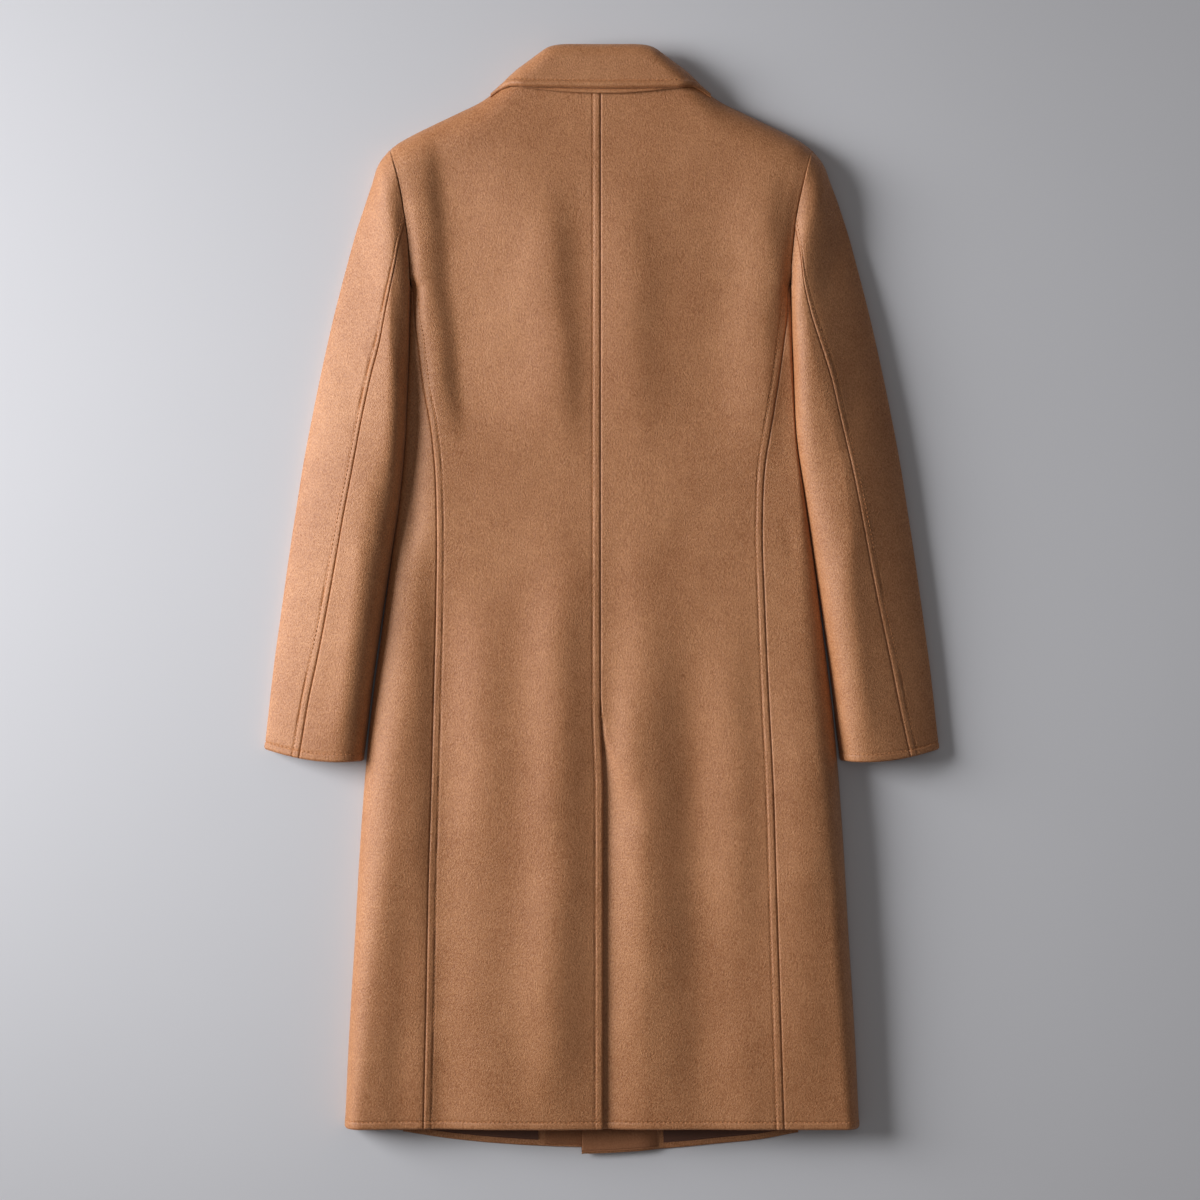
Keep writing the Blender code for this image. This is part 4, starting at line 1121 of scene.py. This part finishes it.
def sockets(tree, entries):
    """Names the inputs and outputs of a node group."""
    for name, direction, kind, value in entries:
        socket = tree.interface.new_socket(name=name, in_out=direction, socket_type="NodeSocket" + kind)
        if value is not None:
            socket.default_value = value


def noise(tree, vector, scale, detail, rough=0.6):
    """A noise over the surface, from about 0 to 1."""
    node = tree.nodes.new("ShaderNodeTexNoise")
    node.inputs["Scale"].default_value = scale
    node.inputs["Detail"].default_value = detail
    node.inputs["Roughness"].default_value = rough
    tree.links.new(vector, node.inputs["Vector"])
    return node.outputs["Fac"]


def sums(tree, operation, first, second, third=None):
    """One sum of numbers or of other nodes' values."""
    node = tree.nodes.new("ShaderNodeMath")
    node.operation = operation
    for socket, value in zip(node.inputs, (first, second, third)):
        if value is None:
            continue
        if isinstance(value, (int, float)):
            socket.default_value = value
        else:
            tree.links.new(value, socket)
    return node.outputs[0]


def napped_wool_group():
    """Felted wool: short brushed fibres, small clumps, and a slow change of tone."""
    tree = bpy.data.node_groups.new("napped_wool", "ShaderNodeTree")
    sockets(tree, (
        ("Light", "INPUT", "Color", (0.6, 0.3, 0.15, 1)), ("Deep", "INPUT", "Color", (0.4, 0.18, 0.09, 1)),
        ("Fibre", "INPUT", "Float", 1.0), ("Mottle", "INPUT", "Float", 1.0),
        ("Colour", "OUTPUT", "Color", None), ("Height", "OUTPUT", "Float", None),
    ))
    given = tree.nodes.new("NodeGroupInput")
    result = tree.nodes.new("NodeGroupOutput")
    place = tree.nodes.new("ShaderNodeTexCoord").outputs["Object"]
    brushed = tree.nodes.new("ShaderNodeMapping")
    brushed.inputs["Scale"].default_value = (1.0, NAP["length"], 1.0)
    brushed.inputs["Rotation"].default_value = (0, 0, NAP["turn"])
    tree.links.new(place, brushed.inputs["Vector"])
    fibres = noise(tree, brushed.outputs[0], WOOL_SCALES["fibres"], 3, 0.62)
    clumps = noise(tree, brushed.outputs[0], WOOL_SCALES["clumps"], 2)
    pile = noise(tree, place, WOOL_SCALES["pile"], 4)
    slow = noise(tree, place, WOOL_SCALES["slow"], 3, 0.5)
    tone = sums(tree, "MULTIPLY_ADD", fibres, 0.75, -0.375)
    tone = sums(tree, "MULTIPLY_ADD", clumps, 1.6, tone)
    tone = sums(tree, "SUBTRACT", tone, 0.8)
    tone = sums(tree, "MULTIPLY", tone, given.outputs["Fibre"])
    broad = sums(tree, "MULTIPLY_ADD", pile, 0.5, -0.25)
    broad = sums(tree, "MULTIPLY_ADD", slow, 0.7, broad)
    broad = sums(tree, "SUBTRACT", broad, 0.35)
    broad = sums(tree, "MULTIPLY", broad, given.outputs["Mottle"])
    tone = sums(tree, "ADD", tone, broad)
    tone = sums(tree, "ADD", tone, 0.5)
    tone = sums(tree, "MINIMUM", sums(tree, "MAXIMUM", tone, 0.0), 1.0)
    mix = tree.nodes.new("ShaderNodeMix")
    mix.data_type = "RGBA"
    tree.links.new(tone, mix.inputs["Factor"])
    tree.links.new(given.outputs["Deep"], mix.inputs["A"])
    tree.links.new(given.outputs["Light"], mix.inputs["B"])
    tree.links.new(mix.outputs["Result"], result.inputs["Colour"])
    height = sums(tree, "MULTIPLY_ADD", clumps, 0.6, sums(tree, "MULTIPLY", fibres, 0.5))
    tree.links.new(height, result.inputs["Height"])
    return tree


def fabric(group, name, light, deep, fibre, mottle, strength, distance, roughness, specular, sheen, tint):
    """A cloth material: the group gives tone and height, the rest is set on the shader itself."""
    material = bpy.data.materials.new(name)
    material.use_nodes = True
    tree = material.node_tree
    shader = tree.nodes["Principled BSDF"]
    surface = tree.nodes.new("ShaderNodeGroup")
    surface.node_tree = group
    bump = tree.nodes.new("ShaderNodeBump")
    settings = (
        (surface, {"Light": (*light, 1), "Deep": (*deep, 1), "Fibre": fibre, "Mottle": mottle}),
        (bump, {"Strength": strength, "Distance": distance}),
        (shader, {"Roughness": roughness, "Specular IOR Level": specular, "Sheen Weight": sheen,
                  "Sheen Roughness": SHEEN_ROUGHNESS, "Sheen Tint": (*tint, 1)}),
    )
    for node, values in settings:
        for socket, value in values.items():
            node.inputs[socket].default_value = value
    tree.links.new(surface.outputs["Colour"], shader.inputs["Base Color"])
    tree.links.new(surface.outputs["Height"], bump.inputs["Height"])
    tree.links.new(bump.outputs["Normal"], shader.inputs["Normal"])
    return material


def floor_material():
    """Plain pale floor with a barely seen change of tone."""
    material = bpy.data.materials.new("pale_floor")
    material.use_nodes = True
    tree = material.node_tree
    shader = tree.nodes["Principled BSDF"]
    place = tree.nodes.new("ShaderNodeTexCoord").outputs["Object"]
    soft = noise(tree, place, 3, 3)
    mix = tree.nodes.new("ShaderNodeMix")
    mix.data_type = "RGBA"
    mix.inputs["A"].default_value = (*FLOOR_DARK, 1)
    mix.inputs["B"].default_value = (*FLOOR_LIGHT, 1)
    tree.links.new(soft, mix.inputs["Factor"])
    tree.links.new(mix.outputs["Result"], shader.inputs["Base Color"])
    shader.inputs["Roughness"].default_value = 0.85
    shader.inputs["Specular IOR Level"].default_value = 0.1
    return material


# ---- Studio ----

def floor():
    """The plain floor that the coat lies on."""
    corners = [(x * FLOOR_HALF, y * FLOOR_HALF, 0) for x, y in ((-1, -1), (1, -1), (1, 1), (-1, 1))]
    mesh_piece("floor", corners, [(0, 1, 2, 3)], floor_material())


def lights():
    """Soft light from the left, a weaker one from above, and a little from all round."""
    for name, place, aim, size, power, spread, colour in LIGHTS:
        data = bpy.data.lights.new(name, "AREA")
        data.shape = "RECTANGLE"
        data.size, data.size_y = size
        data.energy = power
        data.spread = math.radians(spread)
        data.color = colour
        light = bpy.data.objects.new(name, data)
        light.location = place
        direction = [a - p for a, p in zip(aim, place)]
        flat = math.hypot(direction[0], direction[1])
        light.rotation_euler = (math.atan2(flat, -direction[2]), 0, math.atan2(-direction[0], direction[1]))
        bpy.context.scene.collection.objects.link(light)
    world = bpy.data.worlds.new("studio")
    world.use_nodes = True
    background = world.node_tree.nodes["Background"]
    background.inputs["Color"].default_value = (*AMBIENT_COLOUR, 1)
    background.inputs["Strength"].default_value = AMBIENT
    bpy.context.scene.world = world


def camera():
    """Straight above the coat, as wide as the photograph."""
    data = bpy.data.cameras.new("camera")
    data.sensor_fit = "HORIZONTAL"
    data.sensor_width = SENSOR_WIDTH
    data.lens = SENSOR_WIDTH * (CAMERA_PLACE[2] - PHOTO_PLANE) / PHOTO_WIDTH
    lens = bpy.data.objects.new("camera", data)
    lens.location = CAMERA_PLACE
    bpy.context.scene.collection.objects.link(lens)
    bpy.context.scene.camera = lens
    bpy.context.scene.view_settings.view_transform = "Standard"


wool_group = napped_wool_group()
wool, facing_wool_painted_shade, lining_cloth, thread = (fabric(wool_group, *finish) for finish in FINISHES)

for side, word in ((-1, "left"), (1, "right")):
    front_panel(side, word)
    back_panel(side, word)
    side_panel(side, word)
    sleeve(side, word)
    lapel(side, word)
collar()
floor()
lights()
camera()
